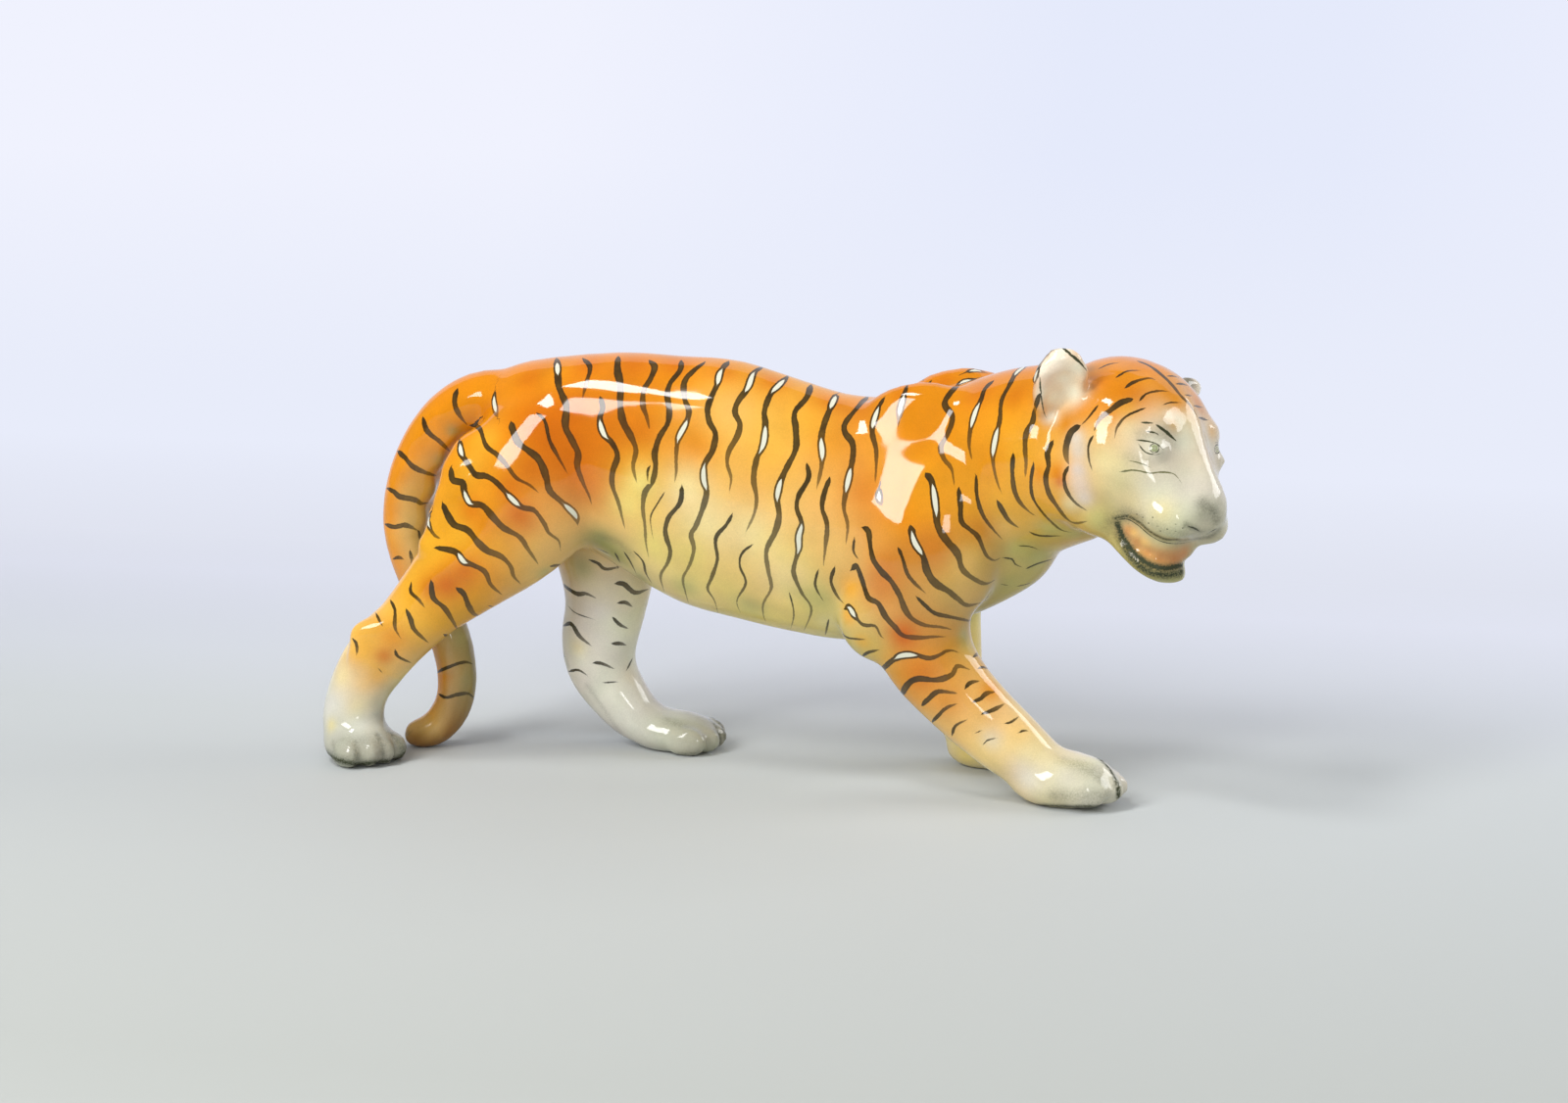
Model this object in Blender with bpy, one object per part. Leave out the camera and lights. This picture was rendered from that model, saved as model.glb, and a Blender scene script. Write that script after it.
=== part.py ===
# A walking tiger, 30 cm long, cast in porcelain as one piece, its head turned to its right.
# Metres. +X runs from tail to head, +Y to the tiger's left, +Z up. The soles stand on Z = 0.
# The clay is laid up as overlapping masses about the middle plane Y = 0. They are melted into
# one skin, eyes, ears and toes are set on it, the soles are ground flat, and the whole is then
# centred over its own outline.

import math

import bmesh
import bpy
from mathutils import Matrix, Vector

# The skin: how fine its grain is at each melting, how many times it is rubbed smooth, and how
# many faces it keeps. A mass has this many points to a ring, and rings to each of its rows.
CLAY_GRAIN = 0.0012
CLAY_RUBBING = 22
SKIN_GRAIN = 0.0009
SKIN_RUBBING = 4
SKIN_FACES = 10400
RING_POINTS = 24
STEPS_PER_SPAN = 4

# Main sizes: how far the shoulders are ahead of the hips, and how high both stand. The hips are
# at X = 0 until the whole is centred. HIPS and SHOULDERS say which of them a table is set from.
BODY_LENGTH = 0.1100
JOINT_HEIGHT = 0.1000
HIPS = 0.0
SHOULDERS = BODY_LENGTH

# Trunk: top and bottom above the joints, and half width. Rump and chest rows start with their
# place along X from hips and shoulders. The barrel's rows are spaced evenly between the two.
RUMP = (
    (-0.0370, 0.0265, 0.0020, 0.0080),
    (-0.0330, 0.0312, -0.0080, 0.0140),
    (-0.0240, 0.0344, -0.0170, 0.0200),
    (-0.0080, 0.0368, -0.0250, 0.0245),
    (0.0100, 0.0382, -0.0350, 0.0262),
)
BARREL = (
    (0.0375, -0.0450, 0.0272),
    (0.0365, -0.0495, 0.0282),
    (0.0312, -0.0530, 0.0290),
    (0.0262, -0.0550, 0.0292),
)
CHEST = (
    (-0.0050, 0.0265, -0.0530, 0.0285),
    (0.0120, 0.0290, -0.0470, 0.0262),
    (0.0270, 0.0290, -0.0400, 0.0225),
    (0.0390, 0.0230, -0.0320, 0.0180),
    (0.0450, 0.0120, -0.0230, 0.0120),
)

# Head: the middle of the skull, ahead of the shoulders and above them, and how the head is
# turned, bowed and tipped, in degrees. Everything on the head is given about that point, X
# forward, Y to the tiger's left, Z up.
SKULL = (0.0670, -0.0145, 0.0140)
HEAD_TURN = -36.0
HEAD_BOW = 13.0
HEAD_ROLL = -12.0

# Neck, from the shoulders: centre, half depth, half width. It ends inside the skull.
NECK = (
    ((0.0040, 0.0000, -0.0050), 0.0305, 0.0230),
    ((0.0200, -0.0015, 0.0005), 0.0312, 0.0240),
    ((0.0370, -0.0055, 0.0075), 0.0305, 0.0244),
    ((0.0530, -0.0105, 0.0120), 0.0285, 0.0240),
)

# Shoulder blades, which stand above the back: middle from the shoulders, and half sizes.
RIGHT_BLADE = ((0.0030, -0.0095, 0.0120), (0.0260, 0.0100, 0.0205))
LEFT_BLADE = ((0.0120, 0.0115, 0.0140), (0.0260, 0.0105, 0.0210))

# Face, back of the skull to the nose: place forward, top, bottom, half width.
FACE = (
    (-0.0280, 0.0110, -0.0170, 0.0120),
    (-0.0210, 0.0210, -0.0240, 0.0205),
    (-0.0110, 0.0270, -0.0275, 0.0250),
    (0.0000, 0.0285, -0.0280, 0.0268),
    (0.0085, 0.0272, -0.0255, 0.0262),
    (0.0160, 0.0232, -0.0230, 0.0240),
    (0.0225, 0.0165, -0.0215, 0.0205),
    (0.0285, 0.0075, -0.0205, 0.0165),
    (0.0340, 0.0005, -0.0190, 0.0135),
    (0.0385, -0.0045, -0.0170, 0.0095),
    (0.0405, -0.0075, -0.0140, 0.0050),
)

# Bridge of the nose, forehead to nostrils, a ridge that stands on the face.
BRIDGE = (
    (0.0090, 0.0250, 0.0050, 0.0070),
    (0.0170, 0.0235, -0.0020, 0.0078),
    (0.0240, 0.0172, -0.0070, 0.0074),
    (0.0310, 0.0095, -0.0110, 0.0068),
    (0.0370, 0.0040, -0.0125, 0.0072),
    (0.0420, -0.0005, -0.0130, 0.0070),
    (0.0440, -0.0040, -0.0115, 0.0042),
)

# Lower jaw, throat to chin, and the tongue that fills the open mouth, in the same terms.
JAW = (
    (-0.0020, -0.0100, -0.0245, 0.0130),
    (0.0080, -0.0160, -0.0262, 0.0145),
    (0.0170, -0.0210, -0.0295, 0.0140),
    (0.0250, -0.0240, -0.0328, 0.0124),
    (0.0320, -0.0252, -0.0338, 0.0100),
    (0.0362, -0.0262, -0.0318, 0.0060),
)
TONGUE = (
    (0.0090, -0.0150, -0.0230, 0.0125),
    (0.0170, -0.0155, -0.0250, 0.0130),
    (0.0250, -0.0160, -0.0262, 0.0118),
    (0.0320, -0.0168, -0.0260, 0.0090),
    (0.0358, -0.0190, -0.0242, 0.0052),
)

# Paired swellings of the face: middle (on the left side), and half sizes along X, Y and Z.
CHEEK = ((-0.0075, 0.0150, -0.0115), (0.0205, 0.0120, 0.0165))
BROW = ((0.0160, 0.0110, 0.0125), (0.0085, 0.0085, 0.0055))
MUZZLE = ((0.0305, 0.0076, -0.0120), (0.0118, 0.0085, 0.0080))
JOWL = ((0.0060, 0.0110, -0.0195), (0.0140, 0.0082, 0.0085))
EYE = ((0.0232, 0.0145, 0.0058), (0.0046, 0.0035, 0.0031))

# Ears: foot of the ear on the left side, its size, the bowl in it and the rim left round that,
# the share of its height where it is widest, and how far it leans out from the crown and
# faces away from straight ahead, in degrees.
EAR_FOOT = (-0.0095, 0.0215, 0.0050)
EAR_HEIGHT = 0.0235
EAR_WIDTH = 0.0175
EAR_WALL = 0.0026
EAR_BOWL = 0.0060
EAR_RIM = 0.0012
EAR_SET = 0.3
EAR_SPREAD = 38.0
EAR_FACING = 40.0

# Legs, from hips or shoulders down to the foot: place along X and across, height as a share of
# the joints' height, half width fore and aft, half width across.
RIGHT_HIND_LEG = (
    ((0.0080, -0.0040, 1.100), 0.0140, 0.0120),
    ((-0.0060, -0.0100, 1.060), 0.0250, 0.0165),
    ((-0.0190, -0.0135, 0.940), 0.0270, 0.0172),
    ((-0.0290, -0.0155, 0.800), 0.0225, 0.0158),
    ((-0.0410, -0.0175, 0.670), 0.0172, 0.0137),
    ((-0.0530, -0.0188, 0.550), 0.0130, 0.0112),
    ((-0.0635, -0.0195, 0.440), 0.0112, 0.0098),
    ((-0.0725, -0.0200, 0.345), 0.0114, 0.0094),
    ((-0.0790, -0.0205, 0.240), 0.0104, 0.0090),
    ((-0.0810, -0.0212, 0.140), 0.0106, 0.0098),
    ((-0.0800, -0.0222, 0.060), 0.0100, 0.0100),
)
LEFT_HIND_LEG = (
    ((0.0080, 0.0040, 1.080), 0.0140, 0.0120),
    ((-0.0020, 0.0100, 0.960), 0.0215, 0.0165),
    ((-0.0030, 0.0140, 0.790), 0.0200, 0.0160),
    ((-0.0025, 0.0160, 0.620), 0.0168, 0.0142),
    ((-0.0035, 0.0172, 0.490), 0.0142, 0.0122),
    ((-0.0060, 0.0178, 0.380), 0.0135, 0.0108),
    ((-0.0055, 0.0180, 0.280), 0.0124, 0.0100),
    ((0.0000, 0.0180, 0.185), 0.0106, 0.0095),
    ((0.0070, 0.0180, 0.110), 0.0090, 0.0096),
    ((0.0140, 0.0180, 0.075), 0.0070, 0.0100),
)
RIGHT_FORE_LEG = (
    ((0.0000, -0.0040, 1.080), 0.0140, 0.0120),
    ((0.0040, -0.0110, 1.010), 0.0240, 0.0165),
    ((0.0050, -0.0150, 0.880), 0.0268, 0.0180),
    ((0.0030, -0.0180, 0.710), 0.0240, 0.0168),
    ((0.0025, -0.0198, 0.575), 0.0180, 0.0144),
    ((0.0070, -0.0205, 0.445), 0.0150, 0.0127),
    ((0.0150, -0.0210, 0.345), 0.0132, 0.0112),
    ((0.0240, -0.0215, 0.260), 0.0122, 0.0105),
    ((0.0340, -0.0220, 0.180), 0.0112, 0.0108),
    ((0.0440, -0.0225, 0.110), 0.0090, 0.0112),
)
LEFT_FORE_LEG = (
    ((0.0020, 0.0040, 1.060), 0.0140, 0.0120),
    ((0.0050, 0.0110, 1.000), 0.0225, 0.0165),
    ((0.0040, 0.0148, 0.860), 0.0220, 0.0168),
    ((0.0030, 0.0168, 0.700), 0.0170, 0.0148),
    ((0.0045, 0.0182, 0.550), 0.0120, 0.0122),
    ((0.0060, 0.0190, 0.420), 0.0104, 0.0106),
    ((0.0072, 0.0195, 0.300), 0.0098, 0.0098),
    ((0.0100, 0.0200, 0.185), 0.0097, 0.0098),
    ((0.0150, 0.0200, 0.100), 0.0086, 0.0100),
)

# Point of the right elbow, placed as a leg's rows are, and its half sizes along X, Y and Z.
RIGHT_ELBOW = ((-0.0085, -0.0200, 0.585), (0.0155, 0.0125, 0.0165))

# Paws: middle of the ball, along X from hips or shoulders, across and above the ground, its
# length, width and height, and its heading in degrees.
RIGHT_HIND_PAW = ((-0.0775, -0.0240, 0.0062), (0.0270, 0.0250, 0.0160), -38.0)
LEFT_HIND_PAW = ((0.0200, 0.0180, 0.0062), (0.0330, 0.0240, 0.0150), -6.0)
RIGHT_FORE_PAW = ((0.0500, -0.0230, 0.0080), (0.0360, 0.0270, 0.0190), -10.0)
LEFT_FORE_PAW = ((0.0200, 0.0200, 0.0062), (0.0320, 0.0230, 0.0150), 0.0)

# Each limb: the joint that it is set from, its leg and its paw.
LIMBS = (
    (HIPS, RIGHT_HIND_LEG, RIGHT_HIND_PAW),
    (HIPS, LEFT_HIND_LEG, LEFT_HIND_PAW),
    (SHOULDERS, RIGHT_FORE_LEG, RIGHT_FORE_PAW),
    (SHOULDERS, LEFT_FORE_LEG, LEFT_FORE_PAW),
)

# Four toes to a paw: half sizes, how far apart, how far the outer two sit back, how far the
# inner two stand out past the ball of the paw, and how far they all hang under its middle.
TOES = 4
TOE_SIZE = (0.0080, 0.0036, 0.0052)
TOE_PITCH = 0.0061
TOE_SETBACK = 0.0026
TOE_STANDS_OUT = 0.0022
TOE_DROP = 0.0012

# Tail, root to tip, from the hips: its centre, placed as a leg's rows are, and its radius.
TAIL = (
    ((-0.0250, 0.0000, 1.205), 0.0105),
    ((-0.0400, 0.0005, 1.203), 0.0104),
    ((-0.0520, 0.0015, 1.145), 0.0097),
    ((-0.0612, 0.0025, 1.040), 0.0092),
    ((-0.0675, 0.0035, 0.905), 0.0089),
    ((-0.0698, 0.0042, 0.765), 0.0085),
    ((-0.0670, 0.0046, 0.625), 0.0081),
    ((-0.0610, 0.0046, 0.495), 0.0077),
    ((-0.0550, 0.0040, 0.375), 0.0073),
    ((-0.0525, 0.0032, 0.255), 0.0070),
    ((-0.0535, 0.0022, 0.155), 0.0067),
    ((-0.0585, 0.0005, 0.076), 0.0063),
    ((-0.0648, -0.0012, 0.050), 0.0056),
    ((-0.0700, -0.0025, 0.058), 0.0038),
)

# The soles are ground this far up into the clay, which is what the tiger then stands on. What
# lies this near to the ground plane is brought onto it first, so that no sliver is cut.
SOLE_GRINDING = 0.0004
LEVEL_WITHIN = 0.0001

# Glaze: coat colours from belly to back, the heights they lie at, and the brushed stripes.
CREAM = (0.78, 0.70, 0.44, 1.0)
ORANGE = (0.80, 0.30, 0.03, 1.0)
STRIPE = (0.05, 0.04, 0.02, 1.0)
CREAM_HEIGHT = 0.035
ORANGE_HEIGHT = 0.095
STRIPES_PER_METRE = 24.0
STRIPE_WAVER = 2.2
STRIPE_EDGE = 0.80
GLAZE_ROUGHNESS = 0.10


def clear_scene():
    for obj in list(bpy.data.objects):
        bpy.data.objects.remove(obj)


def between(rows):
    """The rows, with a smooth curve's own rows put in between them."""
    rows = [Vector(row) for row in rows]
    ends = [rows[0] * 2 - rows[1]] + rows + [rows[-1] * 2 - rows[-2]]
    found = []
    for a, b, c, d in zip(ends, ends[1:], ends[2:], ends[3:]):
        for step in range(STEPS_PER_SPAN):
            t = step / STEPS_PER_SPAN
            bend = (a * 2 - b * 5 + c * 4 - d) * t**2 + (b * 3 - a - c * 3 + d) * t**3
            found.append((b * 2 + (c - a) * t + bend) / 2)
    return found + [rows[-1]]


def loft(bm, frames):
    """A closed shell drawn through unit circles, each placed by its own matrix."""
    made = bmesh.ops.create_circle(bm, segments=RING_POINTS, radius=1.0, matrix=frames[0])
    ring = list({edge for vert in made["verts"] for edge in vert.link_edges})
    ends = list(ring)
    for before, after in zip(frames, frames[1:]):
        grown = bmesh.ops.extrude_edge_only(bm, edges=ring)["geom"]
        verts = [part for part in grown if isinstance(part, bmesh.types.BMVert)]
        bmesh.ops.transform(bm, matrix=after @ before.inverted(), verts=verts)
        edges = [part for part in grown if isinstance(part, bmesh.types.BMEdge)]
        ring = [edge for edge in edges if all(vert in verts for vert in edge.verts)]
    bmesh.ops.holes_fill(bm, edges=ends + ring)


def trunk_rows():
    """Rump, barrel and chest as rows of X, top, bottom and half width, about the joints' height."""
    rump = [(HIPS + x, *rest) for x, *rest in RUMP]
    chest = [(SHOULDERS + x, *rest) for x, *rest in CHEST]
    span = (chest[0][0] - rump[-1][0]) / (len(BARREL) + 1)
    barrel = [(rump[-1][0] + span * (step + 1), *row) for step, row in enumerate(BARREL)]
    return rump + barrel + chest


def above(joint, point):
    """A point given from a joint, in the frame that the whole is laid up in."""
    return Vector((joint, 0, JOINT_HEIGHT)) + Vector(point)


def reached(joint, point):
    """A point on a limb, whose height is a share of the joints' height."""
    return Vector((joint + point[0], point[1], point[2] * JOINT_HEIGHT))


def body_mass(bm, rows, place=Matrix.Identity(4)):
    """Rings across X, each from its highest and lowest points and its half width."""
    ring_axes = Matrix(((0, 0, 1, 0), (1, 0, 0, 0), (0, 1, 0, 0), (0, 0, 0, 1)))
    frames = []
    for x, top, bottom, half_width in between(rows):
        middle = Matrix.Translation((x, 0.0, (top + bottom) / 2))
        size = Matrix.Diagonal((half_width, (top - bottom) / 2, 1.0, 1.0))
        frames.append(place @ middle @ ring_axes @ size)
    loft(bm, frames)


def limb_mass(bm, stations):
    """Rings along a limb's own line, each square to it and level across."""
    rows = between([(*centre, deep, wide) for centre, deep, wide in stations])
    frames = []
    for index, row in enumerate(rows):
        before = rows[max(index - 1, 0)]
        after = rows[min(index + 1, len(rows) - 1)]
        along = (Vector(after[:3]) - Vector(before[:3])).normalized()
        across = (Vector((0, 1, 0)) - along * along.y).normalized()
        axes = Matrix((across, along.cross(across), along)).transposed().to_4x4()
        size = Matrix.Diagonal((row[4], row[3], 1.0, 1.0))
        frames.append(Matrix.Translation(Vector(row[:3])) @ axes @ size)
    loft(bm, frames)


def egg(bm, place, middle, half_sizes):
    matrix = place @ Matrix.Translation(middle) @ Matrix.Diagonal((*half_sizes, 1.0))
    bmesh.ops.create_uvsphere(
        bm, u_segments=RING_POINTS, v_segments=RING_POINTS // 2, radius=1.0, matrix=matrix
    )


def egg_pair(bm, place, middle, half_sizes):
    for side in (1, -1):
        egg(bm, place, (middle[0], middle[1] * side, middle[2]), half_sizes)


def head_place():
    turn = Matrix.Rotation(math.radians(HEAD_TURN), 4, "Z")
    bow = Matrix.Rotation(math.radians(HEAD_BOW), 4, "Y")
    roll = Matrix.Rotation(math.radians(HEAD_ROLL), 4, "X")
    return Matrix.Translation(above(SHOULDERS, SKULL)) @ turn @ bow @ roll


def object_from(bm, name):
    bmesh.ops.recalc_face_normals(bm, faces=bm.faces)
    mesh = bpy.data.meshes.new(name)
    bm.to_mesh(mesh)
    bm.free()
    obj = bpy.data.objects.new(name, mesh)
    bpy.context.scene.collection.objects.link(obj)
    return obj


def taken_away(obj, cutter):
    cut = obj.modifiers.new("cut", "BOOLEAN")
    cut.operation = "DIFFERENCE"
    cut.solver = "EXACT"
    cut.object = cutter


def settled(obj):
    """The object's mesh as its modifiers leave it, kept for good and the object let go."""
    graph = bpy.context.evaluated_depsgraph_get()
    mesh = bpy.data.meshes.new_from_object(obj.evaluated_get(graph))
    bpy.data.objects.remove(obj)
    return mesh


def melted(obj, grain, rubbing):
    """One skin over everything that the object holds, rubbed smooth."""
    skin = obj.modifiers.new("skin", "REMESH")
    skin.mode = "VOXEL"
    skin.voxel_size = grain
    rub = obj.modifiers.new("rub", "SMOOTH")
    rub.iterations = rubbing
    return settled(obj)


def paw_place(joint, middle, heading):
    turn = Matrix.Rotation(math.radians(heading), 4, "Z")
    return Matrix.Translation((joint + middle[0], *middle[1:])) @ turn


def ball(bm, joint, middle, sizes, heading):
    egg(bm, paw_place(joint, middle, heading), (0, 0, 0), [size / 2 for size in sizes])


def toes(bm, joint, middle, sizes, heading):
    front = sizes[0] / 2 + TOE_STANDS_OUT - TOE_SIZE[0]
    for index in range(TOES):
        step = index - (TOES - 1) / 2
        set_back = TOE_SETBACK * (abs(step) - 1 / 2)
        toe = (front - set_back, step * TOE_PITCH, -TOE_DROP)
        egg(bm, paw_place(joint, middle, heading), toe, TOE_SIZE)


def ear(side):
    """A leaf standing on its foot, its inner face scooped into a bowl."""
    place = (
        head_place()
        @ Matrix.Translation((EAR_FOOT[0], EAR_FOOT[1] * side, EAR_FOOT[2]))
        @ Matrix.Rotation(math.radians(-EAR_SPREAD * side), 4, "X")
        @ Matrix.Rotation(math.radians(EAR_FACING * side), 4, "Z")
    )
    middle = EAR_HEIGHT * EAR_SET
    reach = EAR_HEIGHT - middle
    depth = EAR_WALL + EAR_BOWL
    shell = bmesh.new()
    egg(shell, place, (0, 0, middle), (depth - EAR_BOWL / 2, EAR_WIDTH / 2, reach))
    leaf = object_from(shell, "ear")
    hollow = bmesh.new()
    egg(hollow, place, (depth, 0, middle), (depth, EAR_WIDTH / 2 - EAR_RIM, reach - EAR_RIM))
    bowl = object_from(hollow, "ear_bowl")
    taken_away(leaf, bowl)
    mesh = settled(leaf)
    bpy.data.objects.remove(bowl)
    return mesh


def clay():
    bm = bmesh.new()
    head = head_place()
    body_mass(bm, trunk_rows(), Matrix.Translation((0, 0, JOINT_HEIGHT)))
    limb_mass(bm, [(above(SHOULDERS, centre), *sizes) for centre, *sizes in NECK])
    body_mass(bm, FACE, head)
    body_mass(bm, BRIDGE, head)
    body_mass(bm, JAW, head)
    egg_pair(bm, head, *CHEEK)
    egg_pair(bm, head, *BROW)
    egg_pair(bm, head, *MUZZLE)
    egg_pair(bm, head, *JOWL)
    for middle, half_sizes in (RIGHT_BLADE, LEFT_BLADE):
        egg(bm, Matrix.Identity(4), above(SHOULDERS, middle), half_sizes)
    egg(bm, Matrix.Identity(4), reached(SHOULDERS, RIGHT_ELBOW[0]), RIGHT_ELBOW[1])
    for joint, leg, foot in LIMBS:
        limb_mass(bm, [(reached(joint, centre), *sizes) for centre, *sizes in leg])
        ball(bm, joint, *foot)
    limb_mass(bm, [(reached(HIPS, centre), radius, radius) for centre, radius in TAIL])
    return melted(object_from(bm, "clay"), CLAY_GRAIN, CLAY_RUBBING)


def detailed(mesh):
    """The clay with its eyes, ears, tongue and toes set on."""
    bm = bmesh.new()
    head = head_place()
    egg_pair(bm, head, *EYE)
    body_mass(bm, TONGUE, head)
    for joint, _, foot in LIMBS:
        toes(bm, joint, *foot)
    bmesh.ops.recalc_face_normals(bm, faces=bm.faces)
    for side in (1, -1):
        bm.from_mesh(ear(side))
    bm.from_mesh(mesh)
    mesh = bpy.data.meshes.new("detailed")
    bm.to_mesh(mesh)
    bm.free()
    obj = bpy.data.objects.new("detailed", mesh)
    bpy.context.scene.collection.objects.link(obj)
    return melted(obj, SKIN_GRAIN, SKIN_RUBBING)


def thinned(mesh):
    """The same skin in fewer, larger faces: its four-sided ones count as two each."""
    obj = bpy.data.objects.new("thinned", mesh)
    bpy.context.scene.collection.objects.link(obj)
    thin = obj.modifiers.new("thin", "DECIMATE")
    thin.use_collapse_triangulate = True
    thin.ratio = SKIN_FACES / (2 * len(mesh.polygons))
    return settled(obj)


def ground_flat(bm):
    """Cuts the soles level, so that the tiger stands on Z = 0."""
    bmesh.ops.translate(bm, verts=bm.verts, vec=(0, 0, -SOLE_GRINDING))
    for vert in bm.verts:
        if abs(vert.co.z) < LEVEL_WITHIN:
            vert.co.z = 0.0
    geom = bm.verts[:] + bm.edges[:] + bm.faces[:]
    bmesh.ops.bisect_plane(bm, geom=geom, dist=1e-7, plane_no=(0, 0, -1), clear_outer=True)
    bmesh.ops.holes_fill(bm, edges=[edge for edge in bm.edges if edge.is_boundary])
    bmesh.ops.triangulate(bm, faces=bm.faces[:])


def centred(bm):
    """Moves the model so that its origin is under the middle of its outline."""
    for axis in (0, 1):
        places = [vert.co[axis] for vert in bm.verts]
        shift = Vector((0, 0, 0))
        shift[axis] = -(min(places) + max(places)) / 2
        bmesh.ops.translate(bm, verts=bm.verts, vec=shift)


def glaze():
    """Shiny glaze over cream and orange, crossed by dark wavering stripes."""
    material = bpy.data.materials.new("tiger_glaze")
    material.use_nodes = True
    nodes, links = material.node_tree.nodes, material.node_tree.links
    shader = nodes["Principled BSDF"]
    shader.inputs["Roughness"].default_value = GLAZE_ROUGHNESS
    shader.inputs["Metallic"].default_value = 0.0
    place = nodes.new("ShaderNodeTexCoord")
    axes = nodes.new("ShaderNodeSeparateXYZ")
    height = nodes.new("ShaderNodeMapRange")
    height.inputs["From Min"].default_value = CREAM_HEIGHT
    height.inputs["From Max"].default_value = ORANGE_HEIGHT
    coat = nodes.new("ShaderNodeMix")
    coat.data_type = "RGBA"
    coat.inputs["A"].default_value = CREAM
    coat.inputs["B"].default_value = ORANGE
    bands = nodes.new("ShaderNodeTexWave")
    bands.inputs["Scale"].default_value = STRIPES_PER_METRE
    bands.inputs["Distortion"].default_value = STRIPE_WAVER
    edge = nodes.new("ShaderNodeMath")
    edge.operation = "GREATER_THAN"
    edge.inputs[1].default_value = STRIPE_EDGE
    paint = nodes.new("ShaderNodeMix")
    paint.data_type = "RGBA"
    paint.inputs["B"].default_value = STRIPE
    links.new(place.outputs["Object"], axes.inputs["Vector"])
    links.new(place.outputs["Object"], bands.inputs["Vector"])
    links.new(axes.outputs["Z"], height.inputs["Value"])
    links.new(height.outputs["Result"], coat.inputs["Factor"])
    links.new(bands.outputs["Fac"], edge.inputs[0])
    links.new(edge.outputs["Value"], paint.inputs["Factor"])
    links.new(coat.outputs["Result"], paint.inputs["A"])
    links.new(paint.outputs["Result"], shader.inputs["Base Color"])
    return material


def main():
    clear_scene()
    bm = bmesh.new()
    bm.from_mesh(thinned(detailed(clay())))
    ground_flat(bm)
    centred(bm)
    tiger = object_from(bm, "tiger")
    tiger.data.shade_smooth()
    tiger.data.materials.append(glaze())


main()
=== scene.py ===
import math
import random

import bmesh
import bpy
import numpy as np
from mathutils import Matrix, Vector
from mathutils.bvhtree import BVHTree
from mathutils.kdtree import KDTree


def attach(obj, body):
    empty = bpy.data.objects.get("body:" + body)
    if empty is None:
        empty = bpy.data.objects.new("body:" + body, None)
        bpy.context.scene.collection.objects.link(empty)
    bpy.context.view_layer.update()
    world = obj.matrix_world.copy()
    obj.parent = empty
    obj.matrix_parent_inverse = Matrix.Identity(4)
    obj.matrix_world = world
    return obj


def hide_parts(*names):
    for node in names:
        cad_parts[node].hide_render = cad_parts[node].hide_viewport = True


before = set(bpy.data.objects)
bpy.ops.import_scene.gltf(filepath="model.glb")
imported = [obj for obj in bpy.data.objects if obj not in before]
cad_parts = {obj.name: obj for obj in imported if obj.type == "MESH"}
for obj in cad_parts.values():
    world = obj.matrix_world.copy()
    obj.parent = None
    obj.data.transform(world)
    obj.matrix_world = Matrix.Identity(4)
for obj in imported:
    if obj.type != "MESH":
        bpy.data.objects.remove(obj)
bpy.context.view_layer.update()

# A glazed porcelain tiger. Metres, +X from tail to head, +Y to the tiger's left, +Z up.
# Brush strokes and airbrushed spots are given as places in the 1600 x 1126 photograph, in
# pixels, and are thrown from the camera onto the skin. What the camera can't see is painted
# by mirroring them, or grows along the limbs.

cameraSetup = {
    "azimuth": 14.0,
    "elevation": 10.0,
    "distance": 1.0,
    "aim": (0.0033, 0.0076, 0.0731),
    "lens": 69.75,
    "sensor": 36.0,
    "imageWidth": 1600,
    "imageHeight": 1126,
}


def wayTo(around, up):
    # the way to what is so many degrees round from the tiger's right, towards its head, and up
    a, e = math.radians(around), math.radians(up)
    return Vector((math.sin(a) * math.cos(e), -math.cos(a) * math.cos(e), math.sin(e)))


def makeCamera(setup):
    back = wayTo(setup["azimuth"], setup["elevation"])
    data = bpy.data.cameras.new("camera")
    data.lens, data.sensor_width = setup["lens"], setup["sensor"]
    camera = bpy.data.objects.new("camera", data)
    bpy.context.scene.collection.objects.link(camera)
    camera.location = Vector(setup["aim"]) + back * setup["distance"]
    camera.rotation_euler = back.to_track_quat("Z", "Y").to_euler()
    bpy.context.scene.camera = camera
    bpy.context.view_layer.update()
    return camera


camera = makeCamera(cameraSetup)
eyePoint = camera.matrix_world.translation.copy()
pixelSpan = cameraSetup["sensor"] / cameraSetup["lens"] / cameraSetup["imageWidth"]
pixel = pixelSpan * cameraSetup["distance"]   # what one pixel of the photograph covers, in metres
print("camera set")


def pixelRay(px, py):
    x = (px - cameraSetup["imageWidth"] / 2) * pixelSpan
    y = (cameraSetup["imageHeight"] / 2 - py) * pixelSpan
    return (camera.matrix_world.to_3x3() @ Vector((x, y, -1.0))).normalized()


# The head's own axes: X along the face, Y to the tiger's left, Z up.
headPlace = {"skull": (0.1168, -0.0069, 0.1136), "turn": -36.0, "bow": 13.0, "roll": -12.0}
headAxes = (
    Matrix.Translation(headPlace["skull"])
    @ Matrix.Rotation(math.radians(headPlace["turn"]), 4, "Z")
    @ Matrix.Rotation(math.radians(headPlace["bow"]), 4, "Y")
    @ Matrix.Rotation(math.radians(headPlace["roll"]), 4, "X")
)

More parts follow.
